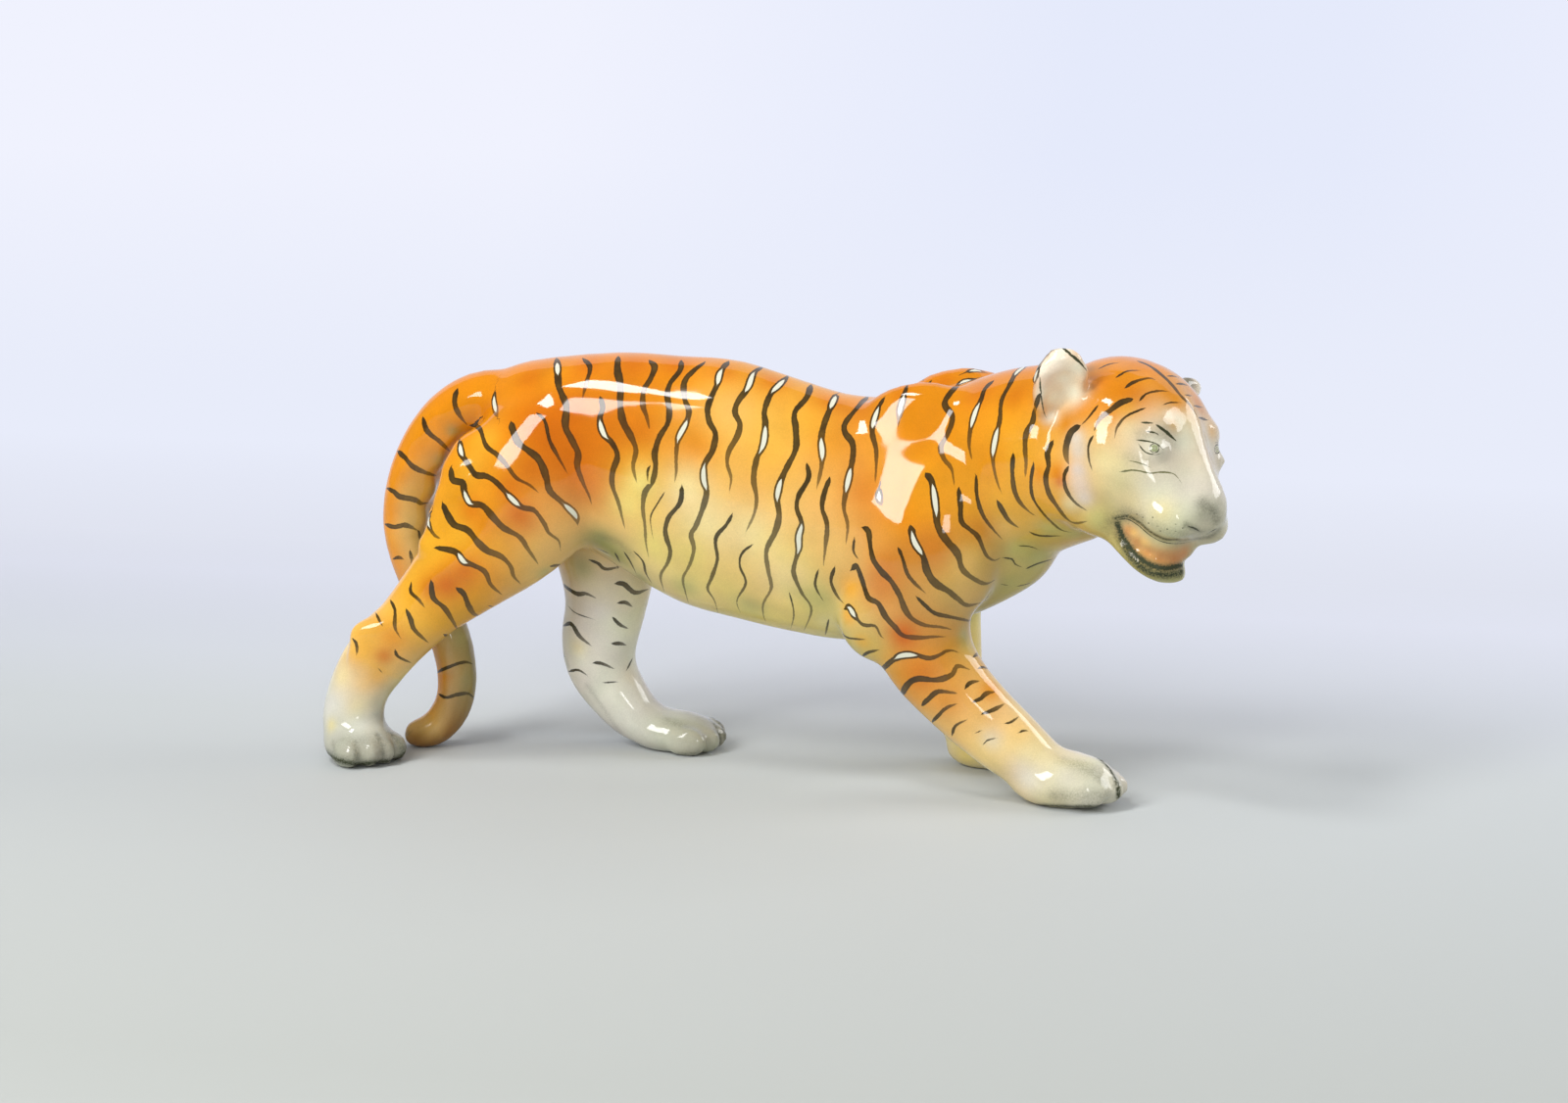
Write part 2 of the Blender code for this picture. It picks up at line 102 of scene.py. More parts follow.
skinSetup = {
    "grain": 0.0013,          # size of the body's faces
    "rubSteps": 4,            # each rub smooths and then swells back, so that nothing shrinks
    "smooth": 0.5,
    "swell": -0.53,
    "rubs": 4,
    "calmSmooth": 0.62,       # the trunk and the limbs are rubbed much more than head and paws
    "calmSwell": -0.632,
    "calmRubs": 42,
    "calmFromSkull": 0.030,   # the calming starts this far from the skull and from the floor,
    "skullFade": 0.012,       # and is full this much further
    "calmLowest": 0.024,
    "floorFade": 0.008,
    "narrowing": 0.6,         # how far a rubbed place has shrunk at its last rub
    "faceBox": ((-0.002, -0.030, -0.037), (0.050, 0.030, 0.030)),   # finer faces, head's axes
    "eyeReach": 0.0062,       # finest faces, this near to an eye
    "eyes": ((0.0245, 0.0150, 0.0062), (0.0245, -0.0150, 0.0062)),
}


def linkedObject(name, mesh):
    obj = bpy.data.objects.new(name, mesh)
    bpy.context.scene.collection.objects.link(obj)
    return obj


def settledMesh(obj):
    graph = bpy.context.evaluated_depsgraph_get()
    mesh = bpy.data.meshes.new_from_object(obj.evaluated_get(graph))
    bpy.data.objects.remove(obj)
    return mesh


def meshArrays(mesh):
    places = np.zeros(len(mesh.vertices) * 3, np.float32)
    normals = np.zeros(len(mesh.vertices) * 3, np.float32)
    mesh.vertices.foreach_get("co", places)
    mesh.vertices.foreach_get("normal", normals)
    return places.reshape(-1, 3).astype(float), normals.reshape(-1, 3).astype(float)


def treeOf(mesh):
    bm = bmesh.new()
    bm.from_mesh(mesh)
    tree = BVHTree.FromBMesh(bm)
    bm.free()
    return tree


def addRubs(obj, count, smooth, swell, steps, group=""):
    for _ in range(count):
        for factor in (smooth, swell):
            rub = obj.modifiers.new("rub", "SMOOTH")
            rub.factor = factor
            rub.iterations = steps
            rub.vertex_group = group


def skinOver(clay, setup):
    mesh = clay.data.copy()
    bm = bmesh.new()
    bm.from_mesh(mesh)
    bmesh.ops.remove_doubles(bm, verts=bm.verts[:], dist=1e-6)
    bm.to_mesh(mesh)
    bm.free()
    obj = linkedObject("clay_copy", mesh)
    remesh = obj.modifiers.new("remesh", "REMESH")
    remesh.mode = "VOXEL"
    remesh.voxel_size = setup["grain"]
    addRubs(obj, setup["rubs"], setup["smooth"], setup["swell"], setup["rubSteps"])
    return settledMesh(obj)


def calmed(mesh, setup):
    # the clay's own facets would show in the glaze, so the big forms are evened out
    obj = linkedObject("calm_copy", mesh)
    group = obj.vertex_groups.new(name="calm")
    for vert in mesh.vertices:
        toSkull = (vert.co - Vector(headPlace["skull"])).length
        fromSkull = (toSkull - setup["calmFromSkull"]) / setup["skullFade"]
        fromFloor = (vert.co.z - setup["calmLowest"]) / setup["floorFade"]
        share = min(fromSkull, fromFloor, 1.0)
        if share > 0:
            group.add((vert.index,), share, "REPLACE")
    addRubs(obj, setup["calmRubs"], setup["calmSmooth"], setup["calmSwell"],
            setup["rubSteps"], "calm")
    return settledMesh(obj)


# Small corrections, as with a sculptor's thumb: a place in the photograph, how far round it the
# skin gives way, and how far right and up it goes, all in pixels.
nudges = (
    (476, 458, 34, -13, 1), (465, 490, 34, -15, 1), (453, 522, 32, -13, 1), (438, 552, 26, -8, 1),
    (446, 446, 26, 9, -1), (434, 470, 26, 11, 0), (427, 500, 26, 11, 0), (420, 530, 24, 9, 0),
    (386, 656, 46, -13, 3), (370, 650, 26, -7, 5), (368, 674, 24, -6, 0), (358, 700, 26, -4, 0),
    (1080, 374, 52, 7, -1), (1080, 366, 34, 1, 6), (1068, 384, 22, -5, 0), (1102, 380, 24, 5, 1),
    (1094, 364, 16, 4, 1),
    (1136, 804, 56, 6, 0), (1118, 782, 30, 1, 3),
    (1217, 393, 22, -6, 4),
)


def nudged(mesh):
    turn = camera.matrix_world.to_3x3()
    for x, y, reach, right, up in nudges:
        points, _ = meshArrays(mesh)
        place = treeOf(mesh).ray_cast(eyePoint, pixelRay(x, y))[0]
        if place is None:
            print("nudge misses the skin at", x, y)
            continue
        away = np.linalg.norm(points - np.array(place), axis=1) / (reach * pixel)
        share = (1 - np.clip(away, 0, 1) ** 2) ** 2
        move = turn @ Vector((right * pixel, up * pixel, 0.0))
        points += share[:, None] * np.array(move)
        mesh.vertices.foreach_set("co", points.astype(np.float32).ravel())
        mesh.update()
    return mesh


# Places rubbed smoother, ever closer to their middles: in the photograph, how far
# round, and how many times.
rubbedPlaces = (
    (1122, 806, 17, 16), (1154, 564, 18, 8), (1172, 580, 16, 6), (1196, 586, 14, 5),
    (905, 478, 74, 90), (985, 500, 46, 40), (620, 420, 60, 40), (1140, 430, 26, 16),
)


def rubOnce(bm, verts):
    bmesh.ops.smooth_vert(
        bm, verts=verts, factor=0.5, use_axis_x=True, use_axis_y=True, use_axis_z=True
    )


def refined(mesh, tree, setup):
    # the rubbed places, then smaller faces on the face, and smaller still round the eyes
    bm = bmesh.new()
    bm.from_mesh(mesh)
    toHead = headAxes.inverted()
    low, high = setup["faceBox"]
    eyes = [headAxes @ Vector(eye) for eye in setup["eyes"]]

    def onFace(vert):
        local = toHead @ vert.co
        return all(low[i] < local[i] < high[i] for i in range(3))

    def nearEye(vert):
        return any((vert.co - eye).length < setup["eyeReach"] for eye in eyes)

    for x, y, reach, times in rubbedPlaces:
        middle = tree.ray_cast(eyePoint, pixelRay(x, y))[0]
        nearby = [(vert, (vert.co - middle).length) for vert in bm.verts]
        nearby = [(vert, away) for vert, away in nearby if away < reach * pixel]
        for turn in range(times):
            narrowed = reach * pixel * (1 - setup["narrowing"] * turn / times)
            rubOnce(bm, [vert for vert, away in nearby if away < narrowed])
    for wanted in (onFace, nearEye):
        chosen = [edge for edge in bm.edges if all(wanted(vert) for vert in edge.verts)]
        bmesh.ops.subdivide_edges(bm, edges=chosen, cuts=1, use_grid_fill=True)
        moved = [vert for vert in bm.verts if wanted(vert)]
        for _ in range(2):
            rubOnce(bm, moved)
    bm.to_mesh(mesh)
    bm.free()
    return mesh


skinMesh = nudged(calmed(skinOver(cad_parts["tiger"], skinSetup), skinSetup))
skinMesh = refined(skinMesh, treeOf(skinMesh), skinSetup)
skinTree = treeOf(skinMesh)
print("skin:", len(skinMesh.polygons), "faces")

# Brush strokes, by region: width in pixels, the path, and the white slits in it, each with its
# middle and half its length in pixels. Paths run from the back downwards.
stripes = {
    "tail": (
        (6, ((467, 396), (464, 406), (465, 416), (471, 427), (477, 434)), ()),
        (6, ((431, 425), (436, 440), (449, 451), (460, 462)), ()),
        (6, ((405, 460), (413, 467), (421, 476), (433, 482), (446, 486)), ()),
        (6, ((394, 498), (402, 502), (408, 507), (423, 510), (430, 514), (438, 513)), ()),
        (5, ((392, 535), (403, 538), (414, 536), (427, 542)), ()),
        (4, ((400, 571), (407, 569), (412, 571)), ()),
        (6, ((453, 647), (461, 652), (466, 655), (472, 648)), ()),
        (4, ((445, 687), (455, 682), (473, 676), (483, 678)), ()),
        (4, ((447, 708), (455, 712), (467, 709), (478, 708), (485, 714)), ()),
    ),
    "thigh": (
        (6, ((505, 400), (504, 410), (507, 424)), ((505, 412, 8),)),
        (7, ((521, 430), (524, 441), (530, 453), (549, 468), (557, 486), (561, 501), (575, 514),
             (587, 526), (590, 538)), ((584, 522, 10),)),
        (5, ((478, 434), (489, 437), (496, 455), (507, 464), (517, 475), (527, 488), (540, 495),
             (551, 504)), ()),
        (6, ((469, 452), (471, 463), (479, 476), (486, 485), (496, 486), (507, 493), (522, 509),
             (533, 518), (545, 521), (555, 534), (560, 544), (570, 552), (572, 563)),
            ((470, 460, 6), (524, 510, 9))),
        (7, ((460, 476), (462, 490), (472, 493), (474, 503), (480, 514), (492, 516), (504, 529),
             (514, 539), (530, 548), (539, 561), (550, 577)), ((479, 507, 8),)),
        (7, ((451, 513), (457, 526), (464, 536), (477, 541), (487, 553), (497, 562), (511, 568),
             (521, 578), (524, 588), (532, 597)), ()),
        (5, ((439, 524), (437, 534), (443, 546), (450, 550)), ((437, 532, 5),)),
        (4, ((427, 541), (431, 556), (441, 566)), ()),
        (4, ((418, 561), (422, 576), (432, 590)), ()),
        (6, ((443, 559), (456, 561), (466, 564), (473, 573), (483, 577), (495, 584), (501, 597),
             (513, 608)), ((473, 570, 7),)),
        (4, ((420, 594), (419, 604), (427, 612), (434, 621)), ()),
        (6, ((440, 592), (442, 610), (453, 620), (459, 629), (467, 643)), ()),
        (6, ((465, 600), (473, 606), (478, 618), (484, 627), (494, 631)), ()),
        (3, ((497, 618), (506, 620)), ()),
    ),
    "hock": (
        (4, ((398, 612), (403, 623), (403, 640), (409, 652)), ()),
        (5, ((414, 621), (419, 632), (423, 643), (438, 657)), ()),
        (3, ((383, 625), (387, 633), (391, 640)), ()),
        (4, ((359, 651), (364, 658), (364, 669)), ()),
        (3, ((362, 637), (368, 634)), ()),
        (4, ((403, 662), (406, 670), (420, 677)), ()),
        (2, ((385, 681), (391, 688)), ()),
    ),
    "back": (
        (7, ((568, 366), (569, 378), (570, 393), (573, 402), (578, 415), (577, 435), (584, 450),
             (590, 463), (589, 476), (595, 493), (601, 506), (604, 516)), ((569, 376, 6),)),
        (5, ((594, 365), (602, 375), (598, 392), (594, 408)), ()),
        (4, ((547, 421), (556, 430), (561, 450), (571, 469), (580, 485)), ()),
        (6, ((612, 404), (615, 416), (612, 428), (616, 443), (625, 453), (630, 466), (625, 482),
             (625, 496), (631, 513), (635, 529), (638, 541)), ((618, 437, 10),)),
        (7, ((631, 363), (630, 377), (633, 393), (633, 415), (636, 431), (644, 446), (649, 460),
             (646, 476), (650, 494)), ()),
        (6, ((662, 367), (668, 375), (663, 388), (657, 398), (656, 413), (660, 426), (663, 439)),
            ()),
        (6, ((695, 367), (694, 378), (684, 391), (681, 403), (683, 420), (681, 433), (673, 446),
             (668, 463), (669, 476), (666, 491), (658, 503), (656, 519), (658, 536), (659, 553),
             (662, 570)), ()),
        (3, ((665, 474), (661, 480), (661, 493)), ()),
        (6, ((720, 369), (706, 380), (698, 391), (699, 408), (703, 420), (700, 432), (692, 448),
             (690, 466), (690, 482), (688, 494)), ((697, 440, 12),)),
        (2, ((679, 501), (671, 514), (664, 527), (665, 542), (667, 552)), ()),
        (5, ((696, 495), (694, 513), (683, 527), (679, 539), (680, 549), (684, 563), (681, 575),
             (674, 588), (678, 605)), ()),
        (6, ((744, 368), (735, 380), (732, 392), (726, 405), (722, 418), (724, 431), (730, 443),
             (727, 460), (719, 474), (718, 489), (721, 503), (717, 519), (710, 537), (705, 546),
             (708, 560), (704, 576), (697, 590), (699, 603), (703, 617)),
            ((735, 384, 8), (719, 488, 13))),
        (6, ((779, 374), (769, 381), (763, 396), (753, 410), (750, 421), (755, 433), (752, 446),
             (744, 460), (742, 473), (746, 488), (744, 503)), ((765, 391, 11),)),
        (4, ((748, 524), (741, 536), (732, 546), (730, 555), (732, 571), (726, 590), (722, 601),
             (729, 613), (733, 627)), ()),
        (6, ((805, 383), (795, 393), (786, 403), (780, 420), (781, 433), (779, 453), (772, 469),
             (769, 489), (772, 509), (769, 526), (760, 545)), ((795, 395, 9), (779, 448, 14))),
        (6, ((828, 392), (823, 406), (811, 421), (812, 438), (812, 458), (802, 479), (796, 493),
             (793, 509), (795, 526), (791, 543), (782, 562), (784, 583), (787, 600), (779, 616),
             (779, 628), (782, 636)), ((795, 501, 11),)),
        (3, ((769, 555), (757, 565), (755, 578), (761, 595), (752, 613), (756, 627)), ()),
        (6, ((853, 404), (848, 415), (841, 433), (838, 448), (839, 463), (838, 478), (833, 500)),
            ((850, 411, 7), (839, 458, 11))),
        (5, ((823, 472), (825, 488), (815, 506), (813, 519), (818, 534), (815, 548), (815, 560),
             (811, 575), (810, 586), (818, 605), (828, 622), (820, 645)), ((815, 550, 15),)),
        (5, ((847, 487), (841, 504), (839, 519), (844, 536), (842, 560), (840, 578)), ()),
        (6, ((886, 404), (876, 415), (863, 431), (862, 441), (870, 453), (870, 468), (867, 483),
             (863, 503), (861, 519), (865, 536), (863, 557)), ((866, 490, 12),)),
        (5, ((903, 405), (896, 417), (890, 439), (894, 459), (894, 476), (893, 493)),
            ((894, 427, 11),)),
        (5, ((926, 392), (922, 405), (918, 420), (916, 437)), ((919, 413, 11),)),
        (3, ((897, 501), (897, 509), (900, 516)), ((898, 508, 4),)),
        (2, ((805, 603), (810, 626), (806, 645)), ()),
        (3, ((835, 581), (832, 598), (841, 615)), ()),
        (4, ((852, 578), (848, 593), (854, 608), (862, 617)), ()),
        (3, ((846, 631), (842, 649)), ()),
        (3, ((872, 548), (871, 563), (877, 572)), ()),
    ),
    "shoulder": (
        (6, ((951, 388), (943, 397), (946, 410), (940, 426), (939, 438), (946, 450), (947, 466)),
            ()),
        (6, ((994, 387), (979, 392), (964, 411), (972, 426), (967, 443), (960, 456), (963, 468),
             (971, 479), (974, 497)), ((985, 391, 6),)),
        (5, ((989, 379), (995, 378), (1001, 379)), ((995, 379, 5),)),
        (7, ((944, 482), (951, 493), (955, 519), (957, 537), (966, 552), (977, 565), (982, 581),
             (994, 591), (1006, 596), (1017, 591)), ((953, 510, 16),)),
        (5, ((978, 497), (980, 515), (981, 532), (989, 540), (998, 548), (1006, 566), (1014, 572),
             (1022, 569)), ()),
        (7, ((929, 536), (933, 553), (942, 568), (946, 583), (954, 595), (967, 603), (977, 611),
             (987, 618), (1003, 615)), ((935, 555, 13),)),
        (6, ((879, 538), (886, 542), (888, 557), (891, 571), (899, 583), (909, 593), (918, 608),
             (923, 621), (930, 631), (943, 638), (959, 640), (973, 643)), ()),
        (4, ((916, 558), (921, 570), (926, 586), (934, 596), (946, 607)), ()),
        (4, ((934, 608), (944, 618), (954, 626), (971, 630), (992, 634), (1002, 633)), ()),
        (6, ((868, 583), (874, 578), (880, 593), (886, 610), (896, 616), (904, 630), (913, 640),
             (922, 649), (938, 651), (953, 650), (967, 650)), ()),
        (4, ((861, 622), (866, 620), (873, 630), (881, 638), (893, 639), (898, 648), (903, 653)),
            ((867, 625, 6),)),
        (3, ((858, 644), (865, 651), (885, 653)), ()),
    ),
    "foreleg": (
        (4, ((879, 671), (886, 666), (898, 663)), ()),
        (5, ((889, 690), (899, 684), (911, 674), (921, 669), (935, 669), (948, 672), (958, 669),
             (965, 665), (972, 664), (980, 667)), ((924, 672, 11),)),
        (6, ((919, 711), (926, 699), (936, 693), (956, 694), (971, 689), (977, 680), (991, 684)),
            ()),
        (5, ((940, 721), (948, 713), (957, 706), (971, 707), (978, 708)), ()),
        (4, ((984, 704), (990, 697), (1001, 695)), ()),
        (5, ((992, 717), (1001, 713), (1006, 708), (1016, 706)), ()),
        (4, ((950, 738), (958, 730), (965, 723), (977, 718)), ()),
        (4, ((1001, 729), (1013, 725), (1026, 718)), ()),
        (3, ((971, 752), (975, 741), (988, 734)), ()),
        (3, ((1024, 739), (1032, 737), (1040, 731)), ()),
        (2, ((994, 749), (1003, 745)), ()),
        (3, ((1038, 749), (1044, 746), (1050, 746)), ()),
        (2, ((1003, 761), (1007, 756), (1018, 753)), ()),
    ),
    "farLegs": (
        (4, ((989, 654), (998, 651), (1006, 653)), ()),
        (4, ((992, 671), (1001, 667), (1010, 672)), ()),
        (3, ((997, 683), (1003, 681), (1011, 684)), ()),
        (4, ((600, 571), (610, 575), (618, 581), (635, 578)), ()),
        (5, ((560, 578), (577, 577), (587, 583), (602, 590)), ()),
        (2, ((608, 559), (623, 566)), ()),
        (3, ((627, 563), (633, 575)), ()),
        (3, ((636, 562), (643, 573), (650, 587)), ()),
        (3, ((646, 562), (656, 573), (659, 585), (666, 597)), ()),
        (5, ((626, 596), (636, 596), (648, 605), (663, 601)), ()),
        (5, ((573, 596), (588, 606), (598, 606), (609, 611)), ()),
        (4, ((629, 616), (638, 615), (646, 620)), ()),
        (2, ((579, 618), (588, 626), (608, 633)), ()),
        (4, ((624, 629), (633, 638), (642, 642)), ()),
        (5, ((574, 639), (583, 637), (591, 649), (604, 660)), ()),
        (4, ((623, 657), (633, 657), (640, 659)), ()),
        (4, ((569, 662), (577, 671)), ()),
        (4, ((604, 677), (613, 677), (627, 683)), ()),
        (3, ((646, 671), (639, 685)), ()),
        (3, ((579, 686), (590, 684), (600, 690)), ()),
        (2, ((614, 697), (631, 696)), ()),
    ),
    "neck": (
        (6, ((1014, 388), (1005, 397), (1001, 408), (995, 421), (990, 440), (989, 456), (992, 470)),
            ((996, 424, 13),)),
        (4, ((996, 484), (997, 507), (1003, 526), (1013, 540), (1024, 552)), ()),
        (5, ((1048, 372), (1037, 381), (1029, 395), (1022, 409), (1020, 430), (1016, 446),
             (1013, 468), (1017, 490), (1023, 506)), ((1040, 378, 7), (1016, 452, 15))),
        (5, ((1017, 510), (1024, 523), (1030, 532), (1040, 539)), ()),
        (5, ((1061, 374), (1056, 385), (1051, 401), (1040, 416), (1037, 430), (1033, 450)),
            ((1056, 385, 6),)),
        (5, ((1034, 462), (1033, 481), (1035, 500), (1041, 513), (1051, 523), (1058, 527)), ()),
        (6, ((1062, 401), (1056, 416), (1054, 430), (1047, 443), (1046, 459), (1047, 472),
             (1046, 488)), ()),
        (4, ((1055, 472), (1052, 492), (1054, 508), (1062, 521), (1072, 532), (1083, 541),
             (1096, 544)), ()),
        (3, ((1050, 543), (1062, 547), (1086, 547)), ()),
        (2, ((1038, 557), (1051, 558), (1062, 562)), ()),
        (3, ((1046, 581), (1060, 575), (1077, 570)), ()),
        (2, ((1036, 599), (1049, 596), (1056, 593)), ()),
        (2, ((1020, 596), (1030, 598)), ()),
        (2, ((1022, 569), (1033, 571), (1036, 576), (1045, 580)), ()),
    ),
    "cheek": (
        (6, ((1075, 449), (1069, 462), (1070, 475), (1067, 488), (1070, 503), (1078, 516),
             (1088, 529), (1097, 534), (1110, 532)), ()),
        (3, ((1121, 413), (1110, 427), (1102, 435)), ()),
        (8, ((1103, 434), (1093, 441), (1088, 455), (1088, 466), (1091, 475)), ()),
        (4, ((1091, 475), (1086, 486), (1088, 500), (1097, 513), (1110, 522)), ()),
        (6, ((1157, 407), (1144, 411), (1133, 419), (1122, 428), (1116, 441)), ()),
        (3, ((1116, 444), (1111, 454), (1111, 468), (1115, 482)), ()),
        (3, ((1170, 416), (1157, 421), (1148, 426), (1140, 436), (1137, 449)), ()),
    ),
    "crown": (
        (5, ((1160, 368), (1174, 374), (1187, 384), (1196, 393), (1205, 404), (1214, 413),
             (1222, 426)), ()),
        (3, ((1120, 377), (1131, 372), (1143, 370)), ()),
        (3, ((1138, 386), (1150, 379), (1165, 378)), ()),
        (4, ((1147, 397), (1157, 390), (1172, 386), (1180, 388)), ()),
        (3, ((1162, 410), (1170, 402), (1183, 399), (1194, 400)), ()),
        (2, ((1185, 414), (1194, 411), (1207, 411)), ()),
        (3, ((1190, 384), (1198, 384), (1204, 386)), ()),
        (3, ((1199, 392), (1207, 392), (1213, 394)), ()),
        (3, ((1208, 403), (1217, 404)), ()),
        (3, ((1217, 414), (1228, 416)), ()),
        (4, ((1222, 426), (1233, 429)), ()),
    ),
}

# Finer brushwork on the face: pot, width in pixels, and path.
faceLines = (
    ("ink", 1.8, ((1158, 449), (1168, 450), (1180, 453), (1188, 460))),
    ("ink", 1.5, ((1161, 452), (1166, 459), (1172, 463), (1181, 464), (1188, 461))),
    ("ink", 2.2, ((1163, 431), (1178, 432))),
    ("ink", 3.6, ((1179, 433), (1190, 441), (1201, 451))),
    ("ink", 2.0, ((1168, 440), (1179, 442), (1183, 445))),
    ("line", 1.6, ((1151, 470), (1164, 473), (1176, 478))),
    ("line", 2.0, ((1142, 482), (1157, 480), (1174, 483), (1184, 482), (1198, 484), (1207, 495))),
    ("ink", 2.4, ((1211, 537), (1218, 539), (1225, 543))),
    ("ink", 2.4, ((1233, 544), (1243, 539))),
    ("ink", 2.0, ((1239, 452), (1244, 452), (1247, 458), (1245, 464))),
    ("ink", 1.6, ((1243, 433), (1246, 445))),
)
# Irises: middle of the eye, radius across, radius up, in pixels.
irises = ((1178, 457.5, 4.6, 4.6), (1242, 458.5, 2.6, 4.6))
whiskerDots = (
    (1166, 528), (1172, 534), (1181, 537), (1176, 528), (1187, 532), (1191, 540), (1199, 535),
    (1199, 542), (1207, 539), (1184, 542), (1194, 528), (1160, 525),
)
lipLine = (
    (1139, 531), (1150, 530), (1161, 536), (1173, 546), (1186, 553), (1202, 555), (1220, 552),
)
earRims = (
    (3.0, ((1081, 353), (1088, 358), (1095, 364), (1103, 371), (1110, 380))),
    (2.0, ((1061, 384), (1062, 401), (1065, 420), (1069, 429))),
)


def smoothPath(points, step):
    # a smooth curve through the points, cut into short even steps
    points = [Vector((float(x), float(y), 0.0)) for x, y in points]
    ends = [points[0] * 2 - points[1]] + points + [points[-1] * 2 - points[-2]]
    found = []
    for a, b, c, d in zip(ends, ends[1:], ends[2:], ends[3:]):
        count = max(1, round((c - b).length / step))
        for index in range(count):
            t = index / count
            bend = (a * 2 - b * 5 + c * 4 - d) * t**2 + (b * 3 - a - c * 3 + d) * t**3
            found.append((b * 2 + (c - a) * t + bend) / 2)
    return found + [points[-1]]


def thrown(point):
    # where a place in the photograph lands on the skin
    place, normal, _, _ = skinTree.ray_cast(eyePoint, pixelRay(point[0], point[1]))
    return place, normal


brush = {
    "sampleStep": 1.5,          # pixels between a path's samples
    "startTaper": 5.0,          # pixels over which a stroke opens, and closes
    "endTaper": 0.40,           # share of its length
    "slitWidth": 2.5,           # half width of a slit, in pixels
    "slitRim": 2.0,             # paint left round it
    "slitShoulder": 5,          # pixels over which a stroke swells before a slit
    "waver": 0.16,              # how unsteady the hand is, and how fast it wavers
    "waverPace": (0.21, 0.083),
    "spread": 1.12,             # the strokes' own widths, times this
    "gap": 0.012,               # a path that jumps this far is cut in two
}
# Stripes take 0.02 to 0.18, paler towards their lower ends.
pots = {"ink": 0.3, "line": 0.5, "iris": 0.7, "lip": 0.9}
potStep = 0.1   # a pot's colour holds this far to either side of its number
strokes = []   # each: its pot, and a run of places, normals, half widths and slit half widths
# Half length and width of a dot, in pixels.
dots = {"pupil": (0.9, 1.9), "whisker": (1.1, 2.3)}


def shaped(path, width, slits, seed, dot):
    # half widths of the stroke and of its slits, in pixels, along the samples
    along = [0.0]
    for a, b in zip(path, path[1:]):
        along.append(along[-1] + (b - a).length)
    along = np.array(along)
    length = along[-1]
    width *= brush["spread"]
    if dot:
        halves = width / 2 * np.sqrt(np.clip(1 - (2 * along / length - 1) ** 6, 0, 1))
    else:
        taper = max(length * brush["endTaper"], brush["startTaper"])
        opening = np.clip(along / brush["startTaper"], 0, 1) ** 0.6
        closing = np.clip((length - along) / taper, 0, 1)
        fast, slow = brush["waverPace"]
        body = 1 + brush["waver"] * np.sin(along * fast + seed * 2.3) * np.cos(along * slow + seed)
        halves = width / 2 * body * np.minimum(opening, closing**0.5)
    cuts = np.zeros(len(path))
    for x, y, reach in slits:
        middle = min(range(len(path)), key=lambda i: (path[i] - Vector((x, y, 0))).length)
        away = np.abs(along - along[middle])
        cut = brush["slitWidth"] * np.sqrt(np.clip(1 - (away / reach) ** 2, 0, 1))
        swelling = (brush["slitWidth"] + brush["slitRim"] * brush["spread"]) * np.sqrt(
            np.clip(1 - (away / (reach + brush["slitShoulder"])) ** 2, 0, 1)
        )
        cuts = np.maximum(cuts, cut)
        halves = np.maximum(halves, swelling)
    return halves, cuts


def addStroke(pot, width, points, slits=(), dot=False):
    path = smoothPath(points, brush["sampleStep"])
    halves, cuts = shaped(path, width, slits, len(strokes), dot)
    run = []
    for index, point in enumerate(path):
        place, normal = thrown(point)
        if place is not None and (not run or (place - run[-1][0]).length < brush["gap"]):
            run.append((place, normal, halves[index] * pixel, cuts[index] * pixel))
    if len(run) > 2:
        strokes.append((pot, run))


def addDot(kind, x, y):
    reach, width = dots[kind]
    addStroke("ink", width, ((x - reach, y), (x, y + 0.1), (x + reach, y)), dot=True)


def addRing(pot, x, y, across, up, width):
    turns = [2 * math.pi * step / 12 for step in range(13)]
    ring = [(x + across * math.cos(turn), y + up * math.sin(turn)) for turn in turns]
    run = []
    for point in smoothPath(ring, 0.8):
        place, normal = thrown(point)
        if place is not None:
            run.append((place, normal, width / 2 * pixel, 0.0))
    strokes.append((pot, run))


for region in stripes.values():
    for width, points, slits in region:
        addStroke("stripe", width, points, slits)
tracedStripes = list(strokes)
for pot, width, points in faceLines:
    addStroke(pot, width, points)
for x, y, across, up in irises:
    addRing("iris", x, y, across * 0.5, up * 0.5, across * 0.8)
    addRing("ink", x, y, across, up, 1.7)
    addDot("pupil", x, y)
for x, y in whiskerDots:
    addDot("whisker", x, y)
addStroke("lip", 1.8, lipLine)
for width, points in earRims:
    addStroke("ink", width, points)
print("traced strokes:", len(strokes))

palette = {
    "deepOrange": (194, 96, 0),
    "orange": (213, 132, 8),
    "golden": (226, 164, 42),
    "apricot": (232, 190, 108),
    "cream": (228, 212, 152),
    "yellowCream": (226, 206, 116),
    "greenCream": (182, 178, 108),
    "moss": (136, 136, 76),
    "greyCream": (208, 206, 182),
    "white": (226, 226, 206),
    "chalk": (206, 206, 190),
    "ash": (166, 166, 146),
    "pinkGrey": (216, 204, 180),
    # the ears' pale cream inside, brightened with painted highlights
    "earCreamAndHighlight": (250, 242, 214),
    "tailTip": (146, 104, 46),
    "taupe": (158, 146, 88),
    "slate": (112, 116, 92),
    "salmon": (204, 146, 84),
    "tan": (198, 162, 92),
    "earBack": (84, 76, 52),
}
